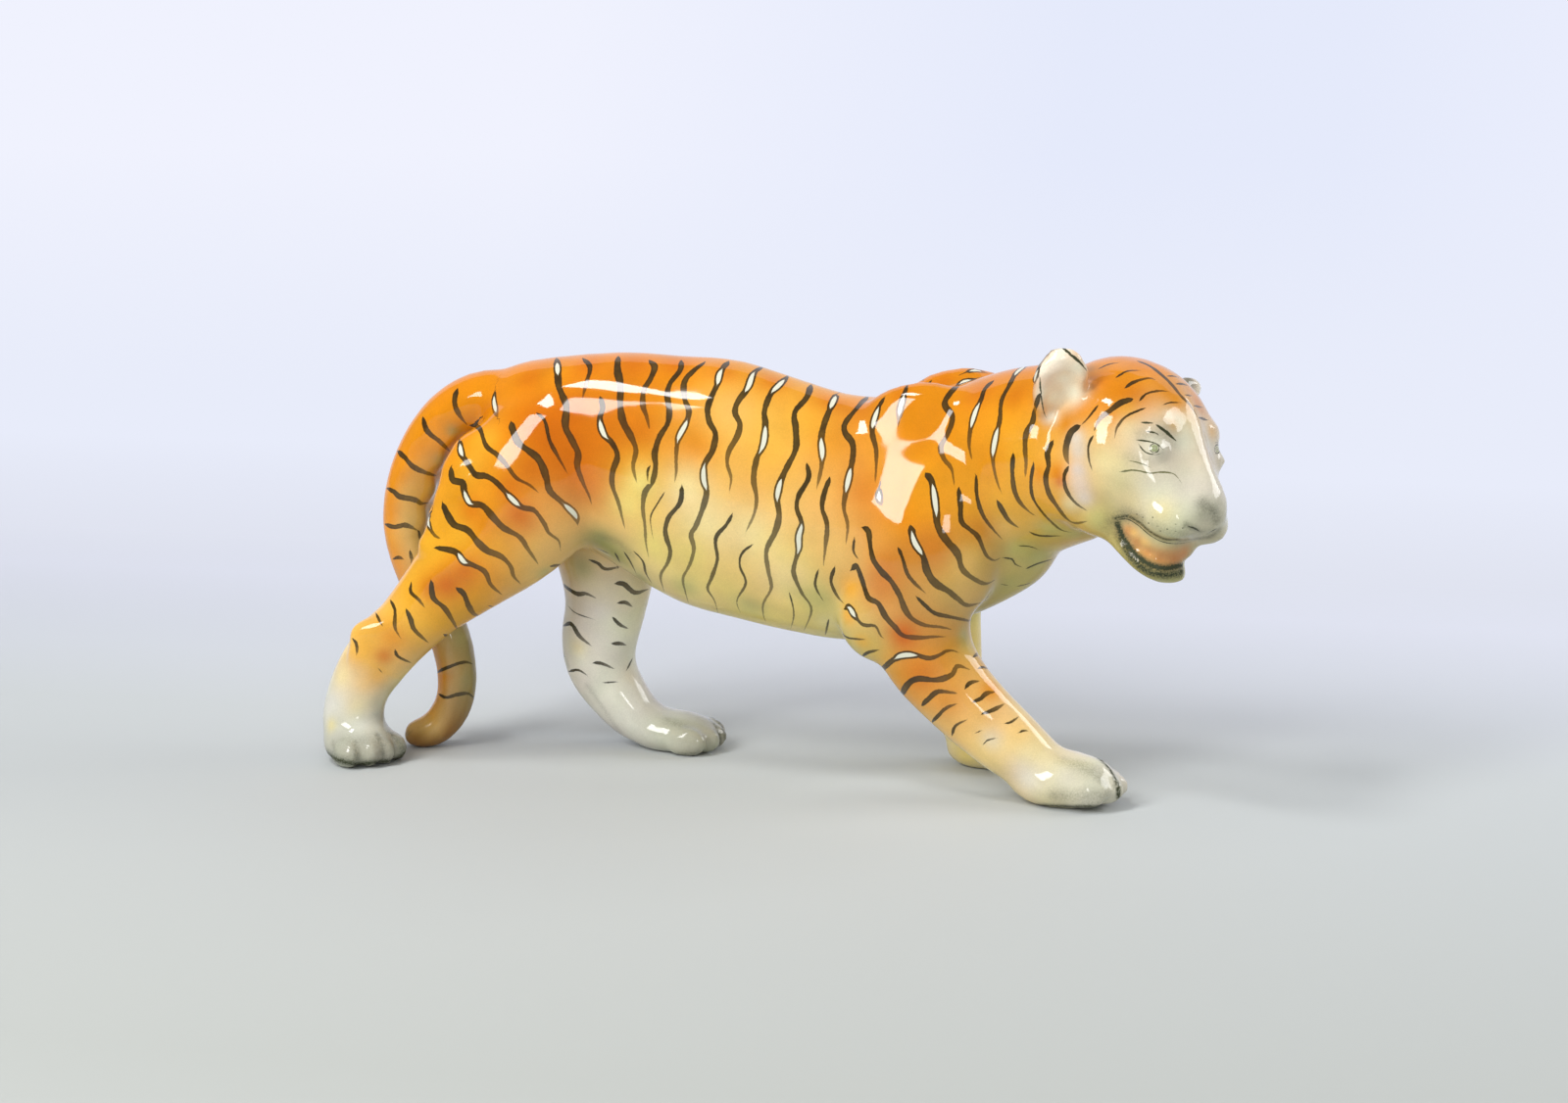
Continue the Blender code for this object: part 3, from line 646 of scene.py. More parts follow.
# Limbs: the line through the middle of each, which way its outer side faces, how far that side
# is from the line, whether stripes grow there, and its colours at each point: outer, middle and
# inner side. The tail's colours change within its own swing, nearer than its reach.
limbs = {
    "trunk": {
        "line": ((-0.082, 0.0076, 0.112), (-0.040, 0.0076, 0.102), (0.010, 0.0076, 0.090),
                 (0.050, 0.0076, 0.090), (0.080, 0.0070, 0.096)),
        "outward": (0, 0, 1), "reach": 0.040, "stripes": True,
        "outer": ("orange", "orange", "golden", "orange", "orange"),
        "middle": ("orange", "golden", "apricot", "orange", "golden"),
        "inner": ("golden", "cream", "yellowCream", "greenCream", "greenCream"),
    },
    "neck": {
        "line": ((0.078, 0.0060, 0.098), (0.100, -0.0010, 0.108)),
        "outward": (0, 0, 1), "reach": 0.030, "stripes": True,
        "outer": ("orange", "orange"), "middle": ("golden", "golden"),
        "inner": ("greenCream", "greenCream"),
    },
    "head": {
        "line": ((0.100, 0.0050, 0.114), (0.122, -0.0110, 0.113), (0.148, -0.0300, 0.102)),
        "outward": (0, 0, 1), "reach": 0.026, "stripes": False,
        "outer": ("orange", "orange", "greyCream"),
        "middle": ("golden", "cream", "greyCream"),
        "inner": ("greenCream", "greenCream", "greenCream"),
    },
    "rightHind": {
        "line": ((-0.066, -0.0040, 0.105), (-0.090, -0.0080, 0.080), (-0.1135, -0.0115, 0.055),
                 (-0.133, -0.0125, 0.034), (-0.140, -0.0150, 0.018), (-0.139, -0.0160, 0.004)),
        "outward": (0, -1, 0), "reach": 0.013, "stripes": True,
        "outer": ("orange", "orange", "golden", "golden", "chalk", "ash"),
        "middle": ("golden", "golden", "golden", "cream", "chalk", "ash"),
        "inner": ("cream", "greyCream", "greyCream", "greyCream", "chalk", "ash"),
    },
    "leftHind": {
        "line": ((-0.060, 0.0180, 0.095), (-0.063, 0.0240, 0.060), (-0.066, 0.0255, 0.038),
                 (-0.053, 0.0256, 0.011), (-0.030, 0.0256, 0.006)),
        "outward": (0, 1, 0), "reach": 0.012, "stripes": True,
        "outer": ("orange", "golden", "apricot", "chalk", "ash"),
        "middle": ("golden", "greyCream", "greyCream", "chalk", "ash"),
        "inner": ("moss", "greyCream", "white", "chalk", "ash"),
    },
    "rightFore": {
        "line": ((0.054, -0.0035, 0.100), (0.053, -0.0105, 0.070), (0.057, -0.0130, 0.044),
                 (0.080, -0.0142, 0.021), (0.092, -0.0150, 0.011), (0.112, -0.0180, 0.008)),
        "outward": (0, -1, 0), "reach": 0.013, "stripes": True,
        "outer": ("orange", "orange", "orange", "apricot", "cream", "greyCream"),
        "middle": ("golden", "golden", "golden", "cream", "cream", "greyCream"),
        "inner": ("greenCream", "greenCream", "yellowCream", "cream", "cream", "greyCream"),
    },
    "leftFore": {
        "line": ((0.055, 0.0190, 0.098), (0.053, 0.0245, 0.070), (0.0562, 0.0266, 0.042),
                 (0.065, 0.0276, 0.010), (0.080, 0.0276, 0.006)),
        "outward": (0, 1, 0), "reach": 0.012, "stripes": True,
        "outer": ("orange", "orange", "golden", "cream", "greyCream"),
        "middle": ("golden", "yellowCream", "yellowCream", "cream", "greyCream"),
        "inner": ("greenCream", "greenCream", "yellowCream", "cream", "greyCream"),
    },
    "tail": {
        "line": ((-0.088, 0.0076, 0.1190), (-0.100, 0.0078, 0.1195), (-0.112, 0.0090, 0.114),
                 (-0.1275, 0.0110, 0.090), (-0.1298, 0.0120, 0.076), (-0.121, 0.0120, 0.049),
                 (-0.1125, 0.0110, 0.025), (-0.1185, 0.0080, 0.008), (-0.130, 0.0050, 0.005)),
        "outward": (-0.85, -0.12, 0.5), "reach": 0.007, "swing": 0.0042, "stripes": True,
        "outer": ("orange", "orange", "orange", "orange", "orange", "orange", "orange", "golden",
                  "tan"),
        "middle": ("golden", "golden", "tan", "tan", "tan", "tan", "tan", "tan", "tan"),
        "inner": ("golden", "taupe", "taupe", "taupe", "taupe", "taupe", "taupe", "tailTip",
                  "tailTip"),
    },
}


def linear(rgb):
    value = np.array(rgb, float) / 255
    return np.where(value <= 0.04045, value / 12.92, ((value + 0.055) / 1.055) ** 2.4)


def alongLine(points, line):
    # for each point: its distance to the line, its place along it, the nearest point on it, and
    # the line's direction there
    best = np.full(len(points), 1e9)
    place = np.zeros(len(points))
    nearest = np.zeros((len(points), 3))
    axis = np.zeros((len(points), 3))
    for index, (a, b) in enumerate(zip(line, line[1:])):
        a, b = np.array(a), np.array(b)
        t = np.clip((points - a) @ (b - a) / ((b - a) @ (b - a)), 0, 1)
        foot = a + t[:, None] * (b - a)
        away = np.linalg.norm(points - foot, axis=1)
        closer = away < best
        best[closer] = away[closer]
        place[closer] = index + t[closer]
        nearest[closer] = foot[closer]
        axis[closer] = (b - a) / np.linalg.norm(b - a)
    return best, place, nearest, axis


blending = {"softness": 0.05, "power": 6}   # how sharply one limb's colours give way to the next


def coatColours(points):
    # base colours, blended from the limbs that each point is nearest to
    total = np.zeros((len(points), 3))
    weights = np.zeros(len(points))
    for limb in limbs.values():
        away, place, nearest, _ = alongLine(points, limb["line"])
        outward = Vector(limb["outward"]).normalized()
        swing = limb.get("swing", limb["reach"])
        side = np.clip((points - nearest) @ np.array(outward) / swing, -1, 1)
        stops = np.arange(len(limb["line"]))
        colours = {}
        for key in ("outer", "middle", "inner"):
            table = np.array([linear(palette[name]) for name in limb[key]])
            columns = [np.interp(place, stops, table[:, channel]) for channel in range(3)]
            colours[key] = np.stack(columns, 1)
        rise = np.clip(side, 0, 1)[:, None]
        fall = np.clip(-side, 0, 1)[:, None]
        mixed = colours["middle"] * (1 - rise - fall)
        mixed += colours["outer"] * rise + colours["inner"] * fall
        weight = 1 / (away / limb["reach"] + blending["softness"]) ** blending["power"]
        total += mixed * weight[:, None]
        weights += weight
    return total / weights[:, None]


# Airbrushed spots, a few of them painted highlights, in the order they are laid: colour, then
# for each its place in the photograph, its radius in pixels and its strength.
spots = (
    ("deepOrange", ((612, 430, 46, 0.75), (578, 470, 34, 0.75), (655, 385, 36, 0.45),
        (550, 430, 26, 0.6), (600, 500, 26, 0.5), (655, 440, 22, 0.5), (530, 526, 18, 0.8),
        (520, 497, 16, 0.6), (474, 583, 16, 0.7), (455, 597, 17, 0.9), (437, 600, 12, 0.6),
        (495, 540, 14, 0.4))),
    ("golden", ((496, 448, 18, 0.7), (484, 470, 14, 0.6), (470, 545, 14, 0.6),
        (505, 555, 16, 0.4), (440, 560, 14, 0.4), (476, 480, 10, 0.5))),
    ("apricot", ((560, 570, 16, 0.7), (545, 590, 16, 0.6), (520, 606, 14, 0.5))),
    ("greenCream", ((556, 584, 9, 0.7), (530, 606, 9, 0.6), (500, 628, 9, 0.6),
        (470, 652, 10, 0.5))),
    ("golden", ((652, 478, 18, 0.5),)),
    ("yellowCream", ((654, 492, 16, 0.9), (640, 515, 18, 0.7))),
    ("orange", ((712, 452, 24, 0.95), (690, 380, 24, 0.6))),
    ("apricot", ((745, 420, 30, 0.5),)),
    ("golden", ((790, 470, 30, 0.5),)),
    ("orange", ((780, 388, 22, 0.5),)),
    ("golden", ((826, 430, 26, 0.5),)),
    ("orange", ((850, 450, 24, 0.5), (836, 405, 20, 0.6))),
    ("cream", ((700, 500, 24, 0.8), (720, 535, 30, 0.8), (765, 545, 26, 0.7))),
    ("yellowCream", ((705, 565, 22, 0.8), (740, 598, 22, 0.7), (668, 556, 18, 0.7))),
    ("cream", ((800, 590, 30, 0.6),)),
    ("greenCream", ((765, 618, 18, 0.7), (700, 600, 14, 0.7), (835, 612, 22, 0.8))),
    ("yellowCream", ((815, 625, 14, 0.6),)),
    ("apricot", ((830, 540, 26, 0.5), (852, 570, 18, 0.6))),
    ("cream", ((845, 635, 14, 0.6),)),
    ("moss", ((612, 552, 20, 0.9), (628, 566, 22, 0.8), (594, 578, 16, 0.7), (655, 590, 12, 0.7))),
    ("greyCream", ((622, 600, 22, 0.4),)),
    ("white", ((612, 628, 14, 0.9), (616, 655, 14, 0.9), (622, 705, 18, 0.8))),
    ("pinkGrey", ((640, 620, 10, 0.6), (642, 690, 10, 0.5))),
    ("yellowCream", ((590, 660, 10, 0.4),)),
    ("deepOrange", ((900, 600, 26, 0.6), (955, 560, 24, 0.6), (922, 648, 15, 0.95),
        (878, 418, 26, 0.6), (905, 575, 20, 0.4), (1000, 402, 18, 0.5), (1035, 405, 16, 0.5))),
    ("orange", ((960, 440, 30, 0.6),)),
    ("golden", ((868, 600, 12, 0.8), (866, 628, 10, 0.8), (880, 655, 10, 0.6))),
    ("apricot", ((985, 575, 16, 0.5), (990, 610, 18, 0.6))),
    ("orange", ((1010, 470, 22, 0.5),)),
    ("golden", ((1040, 460, 16, 0.6), (1030, 490, 14, 0.5))),
    ("greenCream", ((1060, 570, 24, 0.95), (1038, 560, 16, 0.8), (1030, 596, 18, 0.8),
        (1072, 540, 14, 0.8))),
    ("yellowCream", ((1076, 560, 10, 0.5),)),
    ("greenCream", ((1095, 545, 12, 0.7),)),
    ("apricot", ((1024, 540, 12, 0.5),)),
    ("orange", ((1140, 398, 30, 0.95),)),
    ("deepOrange", ((1122, 388, 14, 0.5), (1155, 402, 16, 0.4))),
    ("orange", ((1190, 398, 16, 0.8), (1105, 415, 16, 0.9), (1088, 432, 10, 0.9),
        (1078, 482, 9, 0.9))),
    ("deepOrange", ((1082, 492, 6, 0.7),)),
    ("orange", ((1060, 484, 8, 0.7),)),
    ("golden", ((1076, 512, 9, 0.8), (1064, 505, 7, 0.6))),
    ("cream", ((1092, 515, 9, 0.8),)),
    ("pinkGrey", ((1100, 460, 10, 0.9), (1102, 495, 12, 0.8))),
    ("apricot", ((1125, 440, 10, 0.6),)),
    # a painted highlight on the temple, in cream
    ("cream", ((1150, 440, 12, 0.7),)),
    ("orange", ((1130, 425, 10, 0.6),)),
    ("golden", ((1150, 418, 10, 0.5),)),
    ("cream", ((1128, 470, 14, 0.7),)),
    ("greyCream", ((1180, 455, 22, 0.95), (1205, 450, 18, 0.9))),
    ("greenCream", ((1150, 495, 18, 0.5),)),
    ("greyCream", ((1180, 500, 24, 0.8),)),
    ("cream", ((1150, 510, 16, 0.6),)),
    ("greyCream", ((1215, 500, 22, 0.9),)),
    ("cream", ((1185, 522, 14, 0.6),)),
    ("slate", ((1228, 522, 10, 0.35),)),
    # the face's pale colour, with a painted highlight on the brow
    ("greyCream", ((1200, 432, 10, 0.8),)),
    ("orange", ((1222, 412, 9, 0.8),)),
    ("golden", ((1236, 440, 8, 0.5),)),
    ("greenCream", ((1120, 530, 16, 0.8), (1190, 586, 14, 0.6))),
    # the ear's pale inside, with painted highlights over it
    ("earCreamAndHighlight", ((1082, 385, 16, 1.0), (1075, 405, 12, 1.0), (1095, 400, 12, 1.0),
        (1078, 368, 10, 1.0), (1072, 425, 7, 0.9))),
    ("golden", ((372, 660, 14, 0.6),)),
    ("deepOrange", ((392, 670, 9, 0.7),)),
    ("golden", ((385, 690, 12, 0.6),)),
    ("orange", ((400, 650, 14, 0.6),)),
    ("cream", ((350, 690, 12, 0.6),)),
    ("apricot", ((372, 700, 12, 0.5),)),
    ("cream", ((365, 722, 14, 0.7),)),
    ("chalk", ((368, 742, 14, 0.9),)),
    ("greyCream", ((395, 735, 10, 0.7),)),
    ("greenCream", ((405, 700, 8, 0.5),)),
    ("yellowCream", ((338, 740, 7, 0.5),)),
    ("deepOrange", ((940, 690, 16, 0.5),)),
    ("orange", ((1010, 705, 12, 0.8), (965, 715, 14, 0.5))),
    ("apricot", ((960, 745, 16, 0.6), (1040, 745, 14, 0.5))),
    ("yellowCream", ((985, 770, 14, 0.8),)),
    ("chalk", ((1050, 792, 20, 0.8),)),
    ("cream", ((1060, 772, 14, 0.5),)),
    ("greyCream", ((1012, 755, 12, 0.6), (1090, 795, 16, 0.8))),
    ("yellowCream", ((990, 660, 12, 0.7),)),
    ("greenCream", ((984, 648, 9, 0.8),)),
    ("golden", ((1003, 672, 8, 0.4),)),
    ("salmon", ((1151, 543, 8, 1.0), (1160, 554, 10, 1.0), (1171, 564, 10, 1.0),
        (1184, 569, 10, 1.0), (1196, 569, 10, 1.0), (1207, 566, 10, 1.0))),
    ("apricot", ((1157, 544, 5, 0.6), (1168, 554, 5, 0.6))),
    ("deepOrange", ((1200, 572, 6, 0.3),)),
    # painted highlights along the ear's rim, over its pale colour
    ("earCreamAndHighlight", ((1084, 358, 12, 1.0), (1064, 378, 12, 1.0), (1100, 376, 12, 1.0),
        (1066, 400, 10, 1.0))),
    ("deepOrange", ((600, 374, 16, 0.5), (645, 371, 16, 0.5), (690, 374, 16, 0.5),
        (740, 380, 16, 0.5), (790, 390, 14, 0.5), (850, 412, 14, 0.5), (540, 385, 16, 0.5),
        (496, 420, 12, 0.4), (960, 392, 14, 0.5), (920, 402, 14, 0.5), (560, 450, 26, 0.6),
        (540, 480, 20, 0.6), (480, 520, 14, 0.6), (585, 420, 20, 0.5), (880, 500, 20, 0.4),
        (1000, 540, 16, 0.4))),
    ("pinkGrey", ((1098, 448, 9, 1.0), (1100, 480, 9, 1.0), (1106, 508, 9, 1.0))),
    ("slate", ((1208, 382, 9, 0.9),)),
    ("taupe", ((450, 470, 9, 0.8), (444, 500, 9, 0.8), (436, 525, 7, 0.8), (462, 440, 7, 0.7),
        (478, 690, 8, 0.7))),
    ("tailTip", ((425, 755, 10, 0.6),)),
)
# Spots that aren't repeated on the other side of the head or body.
singleSpots = (
    ("slate", ((1212, 389, 13, 0.95), (1210, 383, 9, 0.9))),
)

# Soot and painted shade: soft dark speckle, laid along paths: radius in pixels, strength, and path.
sootAndShadeTrails = (
    (8, 0.85, ((1144, 547), (1154, 568), (1171, 583), (1190, 587), (1206, 584))),
    (4.5, 1.0, ((1140, 534), (1145, 546), (1152, 558), (1162, 569), (1175, 577), (1190, 580),
                (1206, 577))),
    (14, 0.3, ((1150, 572), (1165, 586), (1185, 592))),
    (5, 0.8, ((1139, 529), (1150, 527), (1162, 533), (1174, 543), (1188, 550), (1202, 551))),
    (11, 0.5, ((1136, 532), (1150, 525), (1164, 530))),
    (8, 0.28, ((1164, 443), (1180, 446), (1196, 452))),
    (6, 0.25, ((1150, 466), (1170, 472))),
    (5, 0.6, ((1208, 383), (1214, 388))),
    (11, 0.35, ((1176, 536), (1196, 545), (1216, 546), (1234, 542))),
    (9, 0.55, ((1228, 514), (1238, 522), (1242, 532))),
    (4, 0.6, ((1210, 536), (1218, 540), (1226, 543))),
    (4, 0.5, ((1232, 545), (1243, 540))),
    (6, 0.6, ((1205, 552), (1220, 550), (1234, 548), (1243, 542))),
    (9, 0.30, ((1128, 540), (1140, 556), (1152, 570))),
    (8, 0.30, ((1226, 524), (1238, 532))),
    # painted shade along the near hind paw's lower edge, where it meets the floor
    (6, 0.9, ((333, 768), (345, 776), (365, 780), (385, 778), (405, 775), (413, 768))),
    (13, 0.34, ((350, 756), (368, 756), (388, 756), (402, 758))),
    (5, 0.6, ((385, 750), (389, 760), (392, 774))),
    (7, 0.6, ((398, 748), (408, 758), (413, 770))),
    (5, 0.4, ((340, 758), (343, 774))),
    (5, 0.5, ((362, 756), (364, 776))),
    # painted shade along the near fore paw's lower edge, where it meets the floor
    (5, 0.85, ((1040, 820), (1080, 823), (1120, 823), (1147, 819))),
    (7, 0.45, ((1095, 780), (1112, 788), (1128, 800))),
    (9, 0.45, ((1075, 812), (1105, 814), (1130, 812))),
    (3.6, 1.0, ((1108, 769), (1122, 775), (1133, 786), (1140, 800), (1142, 818))),
    # painted shade on the outer toe's lower right side
    (4, 0.6, ((1140, 776), (1150, 792), (1151, 806), (1148, 816))),
    (12, 0.4, ((1086, 776), (1104, 782), (1120, 790))),
    (4, 0.8, ((712, 727), (728, 733), (738, 744), (741, 764))),
    (3, 0.8, ((722, 732), (732, 744), (736, 764))),
    # painted shade along the far hind paw's lower edge, where it meets the floor
    (5, 0.6, ((648, 768), (690, 770), (738, 769))),
    (8, 0.4, ((680, 735), (700, 742))),
    (4, 0.35, ((600, 700), (620, 730), (640, 758))),
    (4, 0.35, ((566, 580), (574, 610), (571, 650), (580, 680))),
    # painted shade along the far fore paw's lower edge, where it meets the floor
    (5, 0.4, ((985, 786), (1000, 788), (1015, 789))),
    (6, 0.35, ((612, 548), (628, 552), (645, 566))),
    # painted shade along the tail's lower end, where it meets the floor
    (5, 0.6, ((415, 762), (435, 766), (455, 764), (468, 756))),
    (3, 0.5, ((412, 752), (418, 748))),
    (4, 0.3, ((478, 655), (484, 690), (482, 730))),
)


# Spots right of and above this, in pixels, are mirrored over the head's own middle.
headPart = (1060, 560)
spotSoftness = 0.9


def spotted(points, colours):
    mirror = np.array([1, -1, 1])
    offset = np.array([0, 2 * limbs["trunk"]["line"][0][1], 0])
    toHead = np.array(headAxes.inverted())
    headPoints = points @ toHead[:3, :3].T + toHead[:3, 3]

    def awayFromOther(x, y, middle):
        if x > headPart[0] and y < headPart[1]:
            local = toHead[:3, :3] @ middle + toHead[:3, 3]
            return np.linalg.norm(headPoints - local * mirror, axis=1)
        return np.linalg.norm(points - (middle * mirror + offset), axis=1)

    for layers, bothSides in ((spots, True), (singleSpots, False)):
        for name, places in layers:
            for x, y, radius, strength in places:
                place, _ = thrown((x, y))
                if place is None:
                    continue
                middle = np.array(place)
                away = np.linalg.norm(points - middle, axis=1)
                if bothSides:
                    away = np.minimum(away, awayFromOther(x, y, middle))
                amount = strength * np.exp(-((away / (radius * pixel)) ** 2) * spotSoftness)
                colours += (linear(palette[name]) - colours) * amount[:, None]
    return colours


earSetup = {
    "foot": (-0.0095, 0.0215, 0.0050),   # in the head's axes, for the left ear
    "reach": 0.024,
    "lowest": 0.012,
    "rise": 0.004,                       # the dark comes in over this height,
    "inner": 0.013,                      # and from here outwards, over this width
    "width": 0.003,
    "lean": 0.25,                        # how far an ear leans forward as it rises
    "thick": 0.0075,
}


def earBacks(points, normals, colours):
    # the backs of the ears are dark
    toHead = np.array(headAxes.inverted())
    local = points @ toHead[:3, :3].T + toHead[:3, 3]
    facing = normals @ toHead[:3, :3].T
    for side in (1, -1):
        foot = np.array(earSetup["foot"]) * (1, side, 1)
        near = np.linalg.norm(local - foot, axis=1) < earSetup["reach"]
        high = np.clip((local[:, 2] - earSetup["lowest"]) / earSetup["rise"], 0, 1)
        outer = np.clip((np.abs(local[:, 1]) - earSetup["inner"]) / earSetup["width"], 0, 1)
        middle = foot[0] + earSetup["lean"] * (local[:, 2] - foot[2])
        slim = np.abs(local[:, 0] - middle) < earSetup["thick"]
        back = np.clip(-facing[:, 0] * 2.5 - 0.2, 0, 1)
        amount = near * high * outer * slim * back
        colours += (linear(palette["earBack"]) - colours) * amount[:, None]
    return colours


def sootedAndShaded(points):
    amount = np.zeros(len(points))
    for radius, strength, path in sootAndShadeTrails:
        for sample in smoothPath(path, 2.0):
            place, _ = thrown(sample)
            if place is not None:
                away = np.linalg.norm(points - np.array(place), axis=1)
                here = strength * np.exp(-((away / (radius * pixel)) ** 2))
                amount = np.maximum(amount, here)
    return amount


def seenByCamera(place, normal):
    toEye = eyePoint - place
    if normal.dot(toEye.normalized()) < 0.05:
        return False
    hit = skinTree.ray_cast(place + normal * 0.0004, toEye.normalized())[0]
    return hit is None


mirroring = {
    "tail": -0.096,          # the trunk's part that is mirrored: from here to the neck, and down
    "neck": 0.084,           # to the belly
    "belly": 0.052,
    "spine": 0.130,
    "drift": 0.08,           # how far a mirrored stripe leans, below the spine
    "trunkReach": 0.007,     # a mirrored place needs skin this near to it,
    "trunkStep": 0.006,      # and this near to the place before
    "headSize": 0.036,       # stripes that start this near to the skull are the head's
    "headReach": 0.006,
    "headStep": 0.004,
    "headMiddle": -0.003,    # no stripe nearer to the head's middle than this is mirrored
    "fewest": 3,             # places in a mirrored stripe
}


def addMirrored(pot, made, step):
    whole = all((a[0] - b[0]).length < step for a, b in zip(made, made[1:]))
    if len(made) > mirroring["fewest"] and whole:
        strokes.append((pot, made))


def mirroredStripes():
    # trunk stripes again on the left side, met along the spine
    middle = limbs["trunk"]["line"][0][1]
    for number, (pot, run) in enumerate(tracedStripes):
        made = []
        for place, _, half, cut in run:
            left = Vector((place.x, 2 * middle - place.y, place.z))
            drop = max(0.0, mirroring["spine"] - place.z)
            left.x += mirroring["drift"] * drop * math.sin(number * 1.7)
            spot, spotNormal, _, away = skinTree.find_nearest(left)
            onTrunk = mirroring["tail"] < place.x < mirroring["neck"]
            onTrunk = onTrunk and place.z > mirroring["belly"] and place.y < middle + 0.004
            facesLeft = spotNormal.y > -0.25 and spot.y > middle + 0.002
            lands = onTrunk and away < mirroring["trunkReach"] and facesLeft
            if lands and not seenByCamera(spot, spotNormal):
                made.append((spot, spotNormal, half, cut))
            elif len(made) > mirroring["fewest"]:
                break
        addMirrored(pot, made, mirroring["trunkStep"])


def headStripes():
    # the head's stripes again on its other side
    toHead = headAxes.inverted()
    for pot, run in tracedStripes:
        if (run[0][0] - headAxes.translation).length > mirroring["headSize"]:
            continue
        made = []
        for place, _, half, cut in run:
            local = toHead @ place
            other = headAxes @ Vector((local.x, -local.y, local.z))
            spot, spotNormal, _, away = skinTree.find_nearest(other)
            lands = away < mirroring["headReach"] and local.y < mirroring["headMiddle"]
            if lands and not seenByCamera(spot, spotNormal):
                made.append((spot, spotNormal, half, cut))
            elif len(made) > mirroring["fewest"]:
                break
        addMirrored(pot, made, mirroring["headStep"])


growing = {
    "seed": 7,
    "turn": 6.28,            # of the wave, in radians
    "spacing": 0.0058,       # a new stripe starts at least this far from any other
    "clearance": 0.0034,     # and stops when it comes this near to one
    "step": 0.0007,
    "longest": 0.030,
    "shortest": 0.35,        # the shortest, as a share of the longest
    "fewest": 9,             # steps
    "lowest": 0.029,         # no stripes on the feet
    "footMargin": 0.006,
    "width": 0.0016,
    "sway": 0.45,            # how far a stripe turns to and fro, in radians
    "wave": 0.0085,
    "tries": 4200,
}


def limbAxis(place):
    point = np.array([place])
    best = None
    for name, limb in limbs.items():
        away, _, _, axis = alongLine(point, limb["line"])
        if best is None or away[0] / limb["reach"] < best[0]:
            best = (away[0] / limb["reach"], name, Vector(axis[0]))
    return best[1], best[2]


def grownStripes(mesh):
    # stripes across the limbs, wherever the camera doesn't see and none is painted yet
    chance = random.Random(growing["seed"])
    samples = [place for _, run in strokes for place, _, _, _ in run]
    tree = KDTree(len(samples) + 1)
    for index, place in enumerate(samples):
        tree.insert(place, index)
    tree.balance()
    fresh = []

    def crowded(place, reach, own):
        if tree.find(place)[2] < reach:
            return True
        return any((place - other).length < reach for other in fresh[:own])

    for _ in range(growing["tries"]):
        vert = mesh.vertices[chance.randrange(len(mesh.vertices))]
        place, normal = vert.co.copy(), vert.normal.copy()
        limbName, axis = limbAxis(place)
        bare = not limbs[limbName]["stripes"] or place.z < growing["lowest"]
        if bare or seenByCamera(place, normal) or crowded(place, growing["spacing"], len(fresh)):
            continue
        own = len(fresh)
        phase = chance.uniform(0, growing["turn"])
        longest = growing["longest"] * chance.uniform(growing["shortest"], 1.0)
        halves = []
        for way in (1, -1):
            here, face = place.copy(), normal.copy()
            run = []
            travelled = 0.0
            while travelled < longest / 2:
                across = face.cross(axis)
                if across.length < 0.2:
                    break
                swing = phase + way * travelled / growing["wave"] * growing["turn"]
                sway = growing["sway"] * math.sin(swing)
                heading = (Matrix.Rotation(sway, 3, face) @ across.normalized()) * way
                here, face, _, _ = skinTree.find_nearest(here + heading * growing["step"])
                travelled += growing["step"]
                low = here.z < growing["lowest"] - growing["footMargin"]
                if low or seenByCamera(here, face) or crowded(here, growing["clearance"], own):
                    break
                run.append((here.copy(), face.copy()))
            halves.append(run)
        path = halves[1][::-1] + [(place, normal)] + halves[0]
        if len(path) < growing["fewest"]:
            continue
        made = []
        for index, (spot, spotNormal) in enumerate(path):
            share = index / (len(path) - 1)
            half = growing["width"] / 2 * min(1, 4 * share, 2.2 * (1 - share)) ** 0.6
            made.append((spot, spotNormal, half, 0.0))
        strokes.append(("stripe", made))
        fresh.extend(spot for spot, _ in path[::3])


mirroredStripes()
headStripes()
print("with the left side:", len(strokes))
grownStripes(skinMesh)
print("with the hidden sides:", len(strokes))


layerSetup = {
    "nearest": 10,           # stroke samples that a face is tried against
    "sameSide": 0.1,         # a sample counts if it faces the face's way at least this much
    "bareAway": 0.02,        # what is stored where no stroke is near
    "bareWidth": -0.01,
    "span": 2,               # segments to either side that a corner's distance is tried against
}
stripePot = {"first": 0.02, "paling": 0.16, "power": 2.4}


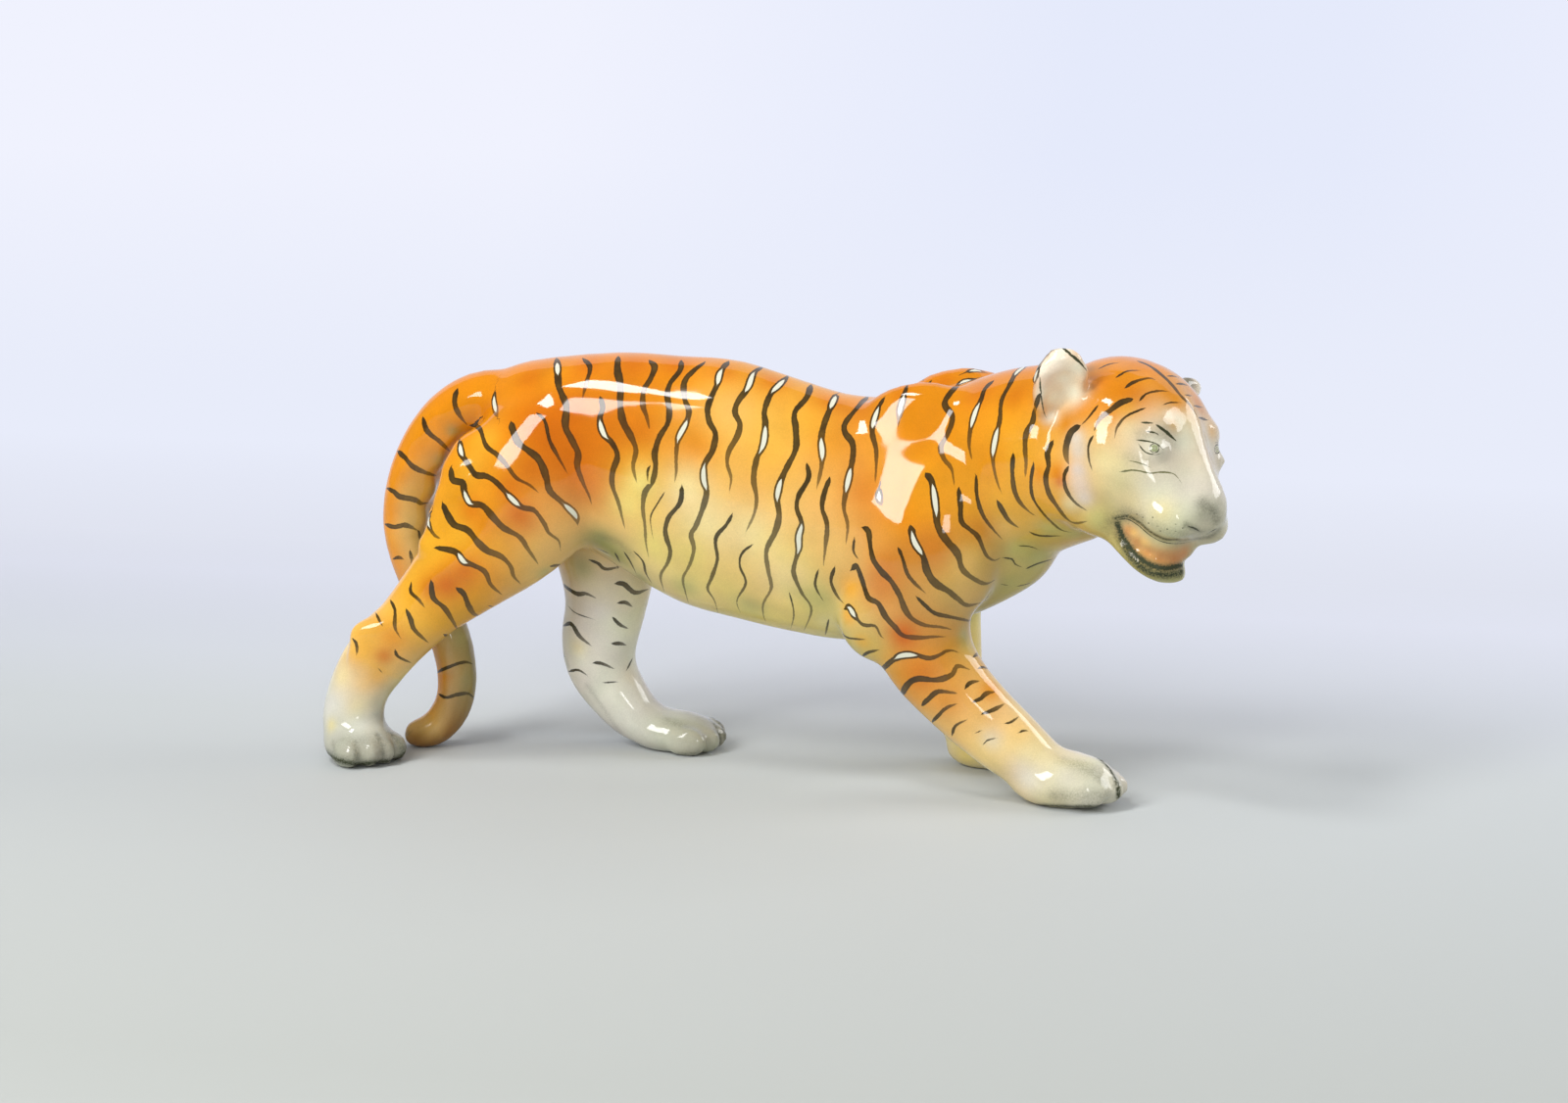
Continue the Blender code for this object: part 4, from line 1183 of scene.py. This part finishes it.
def paintLayers(mesh):
    # for each face the stroke that covers it best; for each corner its distance to that stroke
    places, facings, alongs, halves, cuts, potValues, ids = [], [], [], [], [], [], []
    for number, (pot, run) in enumerate(strokes):
        for index, (place, normal, half, cut) in enumerate(run):
            before = run[max(index - 1, 0)][0]
            after = run[min(index + 1, len(run) - 1)][0]
            if (after - before).length < 1e-7 or (index and (place - before).length < 1e-7):
                continue
            places.append(place)
            facings.append(normal)
            alongs.append((after - before).normalized())
            halves.append(half)
            cuts.append(cut)
            fade = index / (len(run) - 1)
            paler = stripePot["first"] + stripePot["paling"] * fade ** stripePot["power"]
            potValues.append(paler if pot == "stripe" else pots[pot])
            ids.append(number)
    tree = KDTree(len(places))
    for index, place in enumerate(places):
        tree.insert(place, index)
    tree.balance()
    places, facings, alongs = np.array(places), np.array(facings), np.array(alongs)
    halves, cuts, ids = np.array(halves), np.array(cuts), np.array(ids)
    chosen = np.zeros(len(mesh.polygons), int)
    for face in mesh.polygons:
        best, bestScore = -1, 1e9
        for _, index, away in tree.find_n(face.center, layerSetup["nearest"]):
            if facings[index] @ np.array(face.normal) > layerSetup["sameSide"]:
                score = away - halves[index]
                if score < bestScore:
                    best, bestScore = index, score
        chosen[face.index] = best
    corners = np.zeros(len(mesh.loops), np.int32)
    mesh.loops.foreach_get("vertex_index", corners)
    counts = np.array([face.loop_total for face in mesh.polygons])
    picks = np.repeat(chosen, counts)
    points, _ = meshArrays(mesh)
    at = points[corners]
    far = picks < 0
    picks = np.where(far, 0, picks)
    across = np.cross(facings[picks], alongs[picks])
    side = np.sign(np.einsum("ij,ij->i", at - places[picks], across))
    away = np.full(len(at), 1.0)
    width = halves[picks]
    slit = cuts[picks]
    for step in range(-layerSetup["span"], layerSetup["span"]):
        first = np.clip(picks + step, 0, len(places) - 2)
        whole = (ids[first] == ids[picks]) & (ids[first + 1] == ids[picks])
        a, b = places[first], places[first + 1]
        run = b - a
        share = np.einsum("ij,ij->i", at - a, run) / np.einsum("ij,ij->i", run, run)
        share = np.clip(share, 0, 1)
        gap = at - a - run * share[:, None]
        gap -= facings[picks] * np.einsum("ij,ij->i", gap, facings[picks])[:, None]
        length = np.linalg.norm(gap, axis=1)
        closer = whole & (length < away)
        away = np.where(closer, length, away)
        width = np.where(closer, halves[first] * (1 - share) + halves[first + 1] * share, width)
        slit = np.where(closer, cuts[first] * (1 - share) + cuts[first + 1] * share, slit)
    signed = away * np.where(side == 0, 1, side)
    signed = np.where(far, layerSetup["bareAway"], signed)
    width = np.where(far, layerSetup["bareWidth"], width)
    slit = np.where(far, layerSetup["bareWidth"], slit)
    # both layers are in millimetres, but for the pot's number
    values = {
        "brush": np.stack([signed * 1000, width * 1000], 1),
        "slit": np.stack([slit * 1000, np.array(potValues)[picks]], 1),
    }
    for name, value in values.items():
        layer = mesh.uv_layers.new(name=name)
        layer.uv.foreach_set("vector", value.astype(np.float32).ravel())


def paintCoat(mesh):
    points, normals = meshArrays(mesh)
    colours = earBacks(points, normals, spotted(points, coatColours(points)))
    sootAndShade = sootedAndShaded(points)
    coat = mesh.attributes.new("coat", "FLOAT_COLOR", "POINT")
    rgba = np.concatenate([colours, np.ones((len(points), 1))], 1)
    coat.data.foreach_set("color", rgba.astype(np.float32).ravel())
    layer = mesh.attributes.new("sootAndShade", "FLOAT", "POINT")
    layer.data.foreach_set("value", sootAndShade.astype(np.float32))


paintLayers(skinMesh)
print("brushwork laid")
paintCoat(skinMesh)
print("coat airbrushed")

glazeLook = {
    "roughness": 0.45,
    "specular": 0.0,            # all the gloss is in the coat
    "coat": 1.0,
    "coatRoughness": 0.055,
    "coatIor": 1.47,
    "ripple": 0.02,             # how strongly the glaze's own unevenness bends reflections
    "rippleSize": 55.0,
    "rippleDepth": 0.002,
    # noises: scale, detail, how strong, and what is added
    "blotch": (90.0, 3.0, 0.34, 0.83),        # more and less paint
    "spatter": (2400.0, 1.0, 0.22, 0.89),     # the airbrush's fine drops
    "drift": (42.0, 2.0, 0.28, 0.83),         # greener and redder areas
    "specks": (1900.0, 2.0, 1.5, -0.45),      # in the soot and the painted shade
    "wobble": (1100.0, 2.0, 0.34, -0.17),     # of a stroke's edge, in millimetres
    "flow": (230.0, 2.0, 2.4, -0.75),         # where a stroke's core shows
    "edgeHardness": 4.6,        # of a stroke's edge, per millimetre
    "thinnest": 0.02,
    "thinFade": 12.0,
    "coreInset": 0.28,          # millimetres from a stroke's edge to its core
    "coreFade": 2.6,
    "paling": 2.1,              # how much paler a stripe gets towards its lower end
    "slitHardness": 10.0,
    "slitLeast": 0.03,
    "dulling": 0.9,             # how much gloss the thickest soot and painted shade take
    "dullPower": 3.0,
    "edge": (34, 32, 16),       # the stripes' dark edge and their browner core
    "core": (78, 62, 26),
    "ink": (66, 68, 46),
    "line": (112, 112, 76),
    "iris": (150, 156, 116),
    "lip": (74, 76, 54),
    "slit": (218, 217, 196),
    "sootAndShade": (66, 70, 52),
}


def mathNode(tree, operation, first, second=None, third=None, clamp=False):
    node = tree.nodes.new("ShaderNodeMath")
    node.operation = operation
    node.use_clamp = clamp
    for slot, value in enumerate((first, second, third)):
        if value is None:
            continue
        if hasattr(value, "links"):
            tree.links.new(value, node.inputs[slot])
        else:
            node.inputs[slot].default_value = value
    return node.outputs[0]


mixSlots = (0, 6, 7)   # a colour mix's factor and its two colours, among the node's inputs


def mixNode(tree, factor, first, second):
    node = tree.nodes.new("ShaderNodeMix")
    node.data_type = "RGBA"
    for slot, value in zip(mixSlots, (factor, first, second)):
        socket = node.inputs[slot]
        if hasattr(value, "links"):
            tree.links.new(value, socket)
        else:
            socket.default_value = value
    return node.outputs[2]


def noiseNode(tree, vector, scale, detail=2.0):
    node = tree.nodes.new("ShaderNodeTexNoise")
    node.inputs["Scale"].default_value = scale
    node.inputs["Detail"].default_value = detail
    tree.links.new(vector, node.inputs["Vector"])
    return node.outputs["Fac"]


def varied(tree, place, name, clamp=False):
    scale, detail, strength, level = glazeLook[name]
    noise = noiseNode(tree, place, scale, detail)
    return mathNode(tree, "MULTIPLY_ADD", noise, strength, level, clamp)


def faded(tree, value, start, steepness):
    # nought up to the start, and rising to one from there
    past = mathNode(tree, "SUBTRACT", value, start)
    return mathNode(tree, "MULTIPLY", past, steepness, clamp=True)


def scaledColour(tree, colour, factor, operation):
    node = tree.nodes.new("ShaderNodeVectorMath")
    node.operation = operation
    tree.links.new(colour, node.inputs[0])
    tree.links.new(factor, node.inputs["Scale" if operation == "SCALE" else 1])
    return node.outputs[0]


def attribute(tree, name):
    node = tree.nodes.new("ShaderNodeAttribute")
    node.attribute_name = name
    return node


def uvParts(tree, name):
    node = tree.nodes.new("ShaderNodeUVMap")
    node.uv_map = name
    split = tree.nodes.new("ShaderNodeSeparateXYZ")
    tree.links.new(node.outputs[0], split.inputs[0])
    return split.outputs[0], split.outputs[1]


def paint(name):
    return (*linear(glazeLook[name]), 1.0)


def glazeMaterial(look):
    material = bpy.data.materials.new("painted_glaze")
    material.use_nodes = True
    tree = material.node_tree
    shader = tree.nodes["Principled BSDF"]
    shader.inputs["Roughness"].default_value = look["roughness"]
    shader.inputs["Specular IOR Level"].default_value = look["specular"]
    shader.inputs["Coat Roughness"].default_value = look["coatRoughness"]
    shader.inputs["Coat IOR"].default_value = look["coatIor"]
    place = tree.nodes.new("ShaderNodeTexCoord").outputs["Object"]
    sootAndShade = attribute(tree, "sootAndShade").outputs["Fac"]

    # airbrushed coat
    level = mathNode(tree, "MULTIPLY", varied(tree, place, "blotch"), varied(tree, place, "spatter"))
    coat = scaledColour(tree, attribute(tree, "coat").outputs["Color"], level, "SCALE")
    drift = tree.nodes.new("ShaderNodeCombineXYZ")
    drift.inputs[0].default_value = 1.0
    tree.links.new(varied(tree, place, "drift"), drift.inputs[1])
    drift.inputs[2].default_value = 1.0
    coat = scaledColour(tree, coat, drift.outputs[0], "MULTIPLY")

    # soot and painted shade, thrown on as specks
    amount = mathNode(tree, "ADD", sootAndShade, varied(tree, place, "specks"))
    amount = mathNode(tree, "MULTIPLY", amount, sootAndShade, clamp=True)
    base = mixNode(tree, amount, coat, paint("sootAndShade"))
    # thick soot and painted shade dull the glaze over them
    dull = mathNode(tree, "POWER", amount, look["dullPower"])
    dull = mathNode(tree, "MULTIPLY", dull, look["dulling"])
    tree.links.new(mathNode(tree, "SUBTRACT", look["coat"], dull), shader.inputs["Coat Weight"])

    # brushed strokes: a dark edge, and a browner core where the paint ran thin
    side, strokeHalf = uvParts(tree, "brush")
    slitHalf, pot = uvParts(tree, "slit")
    away = mathNode(tree, "ABSOLUTE", side)
    half = mathNode(tree, "ADD", strokeHalf, varied(tree, place, "wobble"))
    inside = mathNode(tree, "SUBTRACT", half, away)
    stroke = mathNode(tree, "MULTIPLY", inside, look["edgeHardness"], clamp=True)
    thin = faded(tree, strokeHalf, look["thinnest"], look["thinFade"])
    stroke = mathNode(tree, "MULTIPLY", stroke, thin)
    core = faded(tree, inside, look["coreInset"], look["coreFade"])
    core = mathNode(tree, "MULTIPLY", core, varied(tree, place, "flow", clamp=True))
    stripeColour = mixNode(tree, core, paint("edge"), paint("core"))
    ramp = tree.nodes.new("ShaderNodeValToRGB")
    ramp.color_ramp.interpolation = "CONSTANT"
    colours = ramp.color_ramp.elements
    colours[0].position = 0.0
    colours[0].color = paint("edge")
    colours[1].position = pots["ink"] - potStep
    colours[1].color = paint("ink")
    for name in ("line", "iris", "lip"):
        colours.new(pots[name] - potStep).color = paint(name)
    tree.links.new(pot, ramp.inputs[0])
    isStripe = mathNode(tree, "LESS_THAN", pot, pots["ink"] - potStep)
    paler = mathNode(tree, "MULTIPLY", mathNode(tree, "MULTIPLY", pot, look["paling"]), isStripe)
    stroke = mathNode(tree, "MULTIPLY", stroke, mathNode(tree, "SUBTRACT", 1.0, paler))
    strokeColour = mixNode(tree, isStripe, ramp.outputs[0], stripeColour)
    painted = mixNode(tree, stroke, base, strokeColour)

    # white slits
    cut = mathNode(tree, "SUBTRACT", slitHalf, away)
    cut = mathNode(tree, "MULTIPLY", cut, look["slitHardness"], clamp=True)
    isSlit = mathNode(tree, "GREATER_THAN", slitHalf, look["slitLeast"])
    cut = mathNode(tree, "MULTIPLY", cut, isSlit)
    painted = mixNode(tree, cut, painted, paint("slit"))
    tree.links.new(painted, shader.inputs["Base Color"])

    ripple = noiseNode(tree, place, look["rippleSize"], 1.0)
    bump = tree.nodes.new("ShaderNodeBump")
    bump.inputs["Strength"].default_value = look["ripple"]
    bump.inputs["Distance"].default_value = look["rippleDepth"]
    tree.links.new(ripple, bump.inputs["Height"])
    tree.links.new(bump.outputs[0], shader.inputs["Normal"])
    tree.links.new(bump.outputs[0], shader.inputs["Coat Normal"])
    return material


tiger = linkedObject("glazed_tiger", skinMesh)
skinMesh.materials.clear()
skinMesh.materials.append(glazeMaterial(glazeLook))
skinMesh.shade_smooth()
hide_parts("tiger")
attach(tiger, "root")
print("tiger glazed")

stageLook = {
    "size": 3.0,
    "behind": 0.9,              # how far behind the tiger the floor turns up
    "bend": 0.6,
    "height": 2.2,
    # the floor's colours by depth, from in front of the tiger to far behind it: painted fall-off of
    # the studio light, darker in front
    "depths": ((-0.30, (176, 179, 174)), (0.05, (194, 198, 198)), (0.30, (222, 225, 237)),
               (0.70, (232, 236, 250))),
    "glowFrom": 0.14,           # from here back, the floor shows its own colour in any light
    "glowRise": 4.0,
    "wallRise": 7.0,            # how fast the floor's colour gives way to the wall's, going up
    "wall": (229, 234, 251),
    # the wall's paler sides are painted light
    "side": (240, 242, 254),    # the wall is paler towards its sides, from here outwards
    "sideFrom": 0.1,
    "sideRise": 2.4,
}


def makeStage(look):
    bm = bmesh.new()
    made = bmesh.ops.create_grid(bm, x_segments=1, y_segments=1, size=look["size"])
    edge = [e for e in bm.edges if all(v.co.y > 0 for v in e.verts)]
    for vert in made["verts"]:
        if vert.co.y > 0:
            vert.co.y = look["behind"]
    bmesh.ops.spin(
        bm, geom=edge, cent=(0, look["behind"], look["bend"]), axis=(1, 0, 0),
        angle=math.pi / 2, steps=24, use_merge=False,
    )
    top = max(vert.co.z for vert in bm.verts)
    upper = [e for e in bm.edges if all(v.co.z > top - 1e-4 for v in e.verts)]
    raised = bmesh.ops.extrude_edge_only(bm, edges=upper)["geom"]
    verts = [part for part in raised if isinstance(part, bmesh.types.BMVert)]
    bmesh.ops.translate(bm, verts=verts, vec=(0, 0, look["height"]))
    bmesh.ops.recalc_face_normals(bm, faces=bm.faces[:])
    mesh = bpy.data.meshes.new("sweep")
    bm.to_mesh(mesh)
    bm.free()
    mesh.shade_smooth()
    sweep = linkedObject("sweep", mesh)
    material = bpy.data.materials.new("paper_sweep")
    material.use_nodes = True
    tree = material.node_tree
    shader = tree.nodes["Principled BSDF"]
    shader.inputs["Roughness"].default_value = 0.75
    axes = tree.nodes.new("ShaderNodeSeparateXYZ")
    tree.links.new(tree.nodes.new("ShaderNodeTexCoord").outputs["Object"], axes.inputs[0])
    first, last = look["depths"][0][0], look["depths"][-1][0]
    depth = mathNode(tree, "DIVIDE", mathNode(tree, "SUBTRACT", axes.outputs[1], first), last - first)
    ground = tree.nodes.new("ShaderNodeValToRGB")
    stops = [((y - first) / (last - first), colour) for y, colour in look["depths"]]
    for position, _ in stops[1:-1]:
        ground.color_ramp.elements.new(position)
    for element, (position, colour) in zip(ground.color_ramp.elements, stops):
        element.position = position
        element.color = (*linear(colour), 1)
    tree.links.new(depth, ground.inputs[0])
    rise = mathNode(tree, "MULTIPLY", axes.outputs[2], look["wallRise"], clamp=True)
    aside = mathNode(tree, "ABSOLUTE", axes.outputs[0])
    aside = faded(tree, aside, look["sideFrom"], look["sideRise"])
    wall = mixNode(tree, aside, (*linear(look["wall"]), 1), (*linear(look["side"]), 1))
    colour = mixNode(tree, rise, ground.outputs[0], wall)
    tree.links.new(colour, shader.inputs["Base Color"])
    behind = faded(tree, axes.outputs[1], look["glowFrom"], look["glowRise"])
    own = mathNode(tree, "MAXIMUM", rise, behind)
    # the wall and the floor far back show their own colour, whatever light reaches them
    glow = tree.nodes.new("ShaderNodeEmission")
    tree.links.new(colour, glow.inputs["Color"])
    path = tree.nodes.new("ShaderNodeLightPath")
    seen = mathNode(tree, "MAXIMUM", path.outputs["Is Camera Ray"], path.outputs["Is Glossy Ray"])
    seen = mathNode(tree, "MAXIMUM", seen, path.outputs["Is Transmission Ray"])
    blend = tree.nodes.new("ShaderNodeMixShader")
    tree.links.new(mathNode(tree, "MULTIPLY", seen, own), blend.inputs[0])
    tree.links.new(shader.outputs[0], blend.inputs[1])
    tree.links.new(glow.outputs[0], blend.inputs[2])
    tree.links.new(blend.outputs[0], tree.nodes["Material Output"].inputs["Surface"])
    mesh.materials.append(material)


makeStage(stageLook)

# Lamps: how many degrees round from the tiger's right and up, how far, width and height, watts,
# and whether the glaze mirrors them.
lamps = {
    "key": (-50, 63, 1.3, 0.36, 0.17, 4.2, True),
    "tall": (-36, 34, 1.3, 0.34, 0.78, 11.0, True),
    "right": (110, 30, 1.2, 0.80, 0.44, 6.0, True),
    "front": (20, 14, 1.4, 0.16, 0.30, 1.4, True),
    "fill": (5, 30, 1.6, 1.20, 0.90, 5.4, False),
    "top": (10, 84, 1.4, 1.40, 1.40, 3.0, False),
}
lampAim = (0.02, 0.0, 0.08)
worldLook = {"colour": (0.90, 0.93, 1.0), "strength": 0.24}


def makeLights():
    for name, (around, up, far, width, height, watts, mirrored) in lamps.items():
        data = bpy.data.lights.new(name, "AREA")
        data.shape = "RECTANGLE" if width != height else "DISK"
        data.size, data.size_y = width, height
        data.energy = watts
        lamp = bpy.data.objects.new(name, data)
        bpy.context.scene.collection.objects.link(lamp)
        way = wayTo(around, up)
        lamp.location = Vector(lampAim) + way * far
        lamp.rotation_euler = way.to_track_quat("Z", "Y").to_euler()
        lamp.visible_glossy = mirrored
    world = bpy.data.worlds.new("studio")
    world.use_nodes = True
    background = world.node_tree.nodes["Background"]
    background.inputs["Color"].default_value = (*worldLook["colour"], 1)
    background.inputs["Strength"].default_value = worldLook["strength"]
    bpy.context.scene.world = world


makeLights()
bpy.context.scene.view_settings.view_transform = "Standard"
print("lights and floor set")
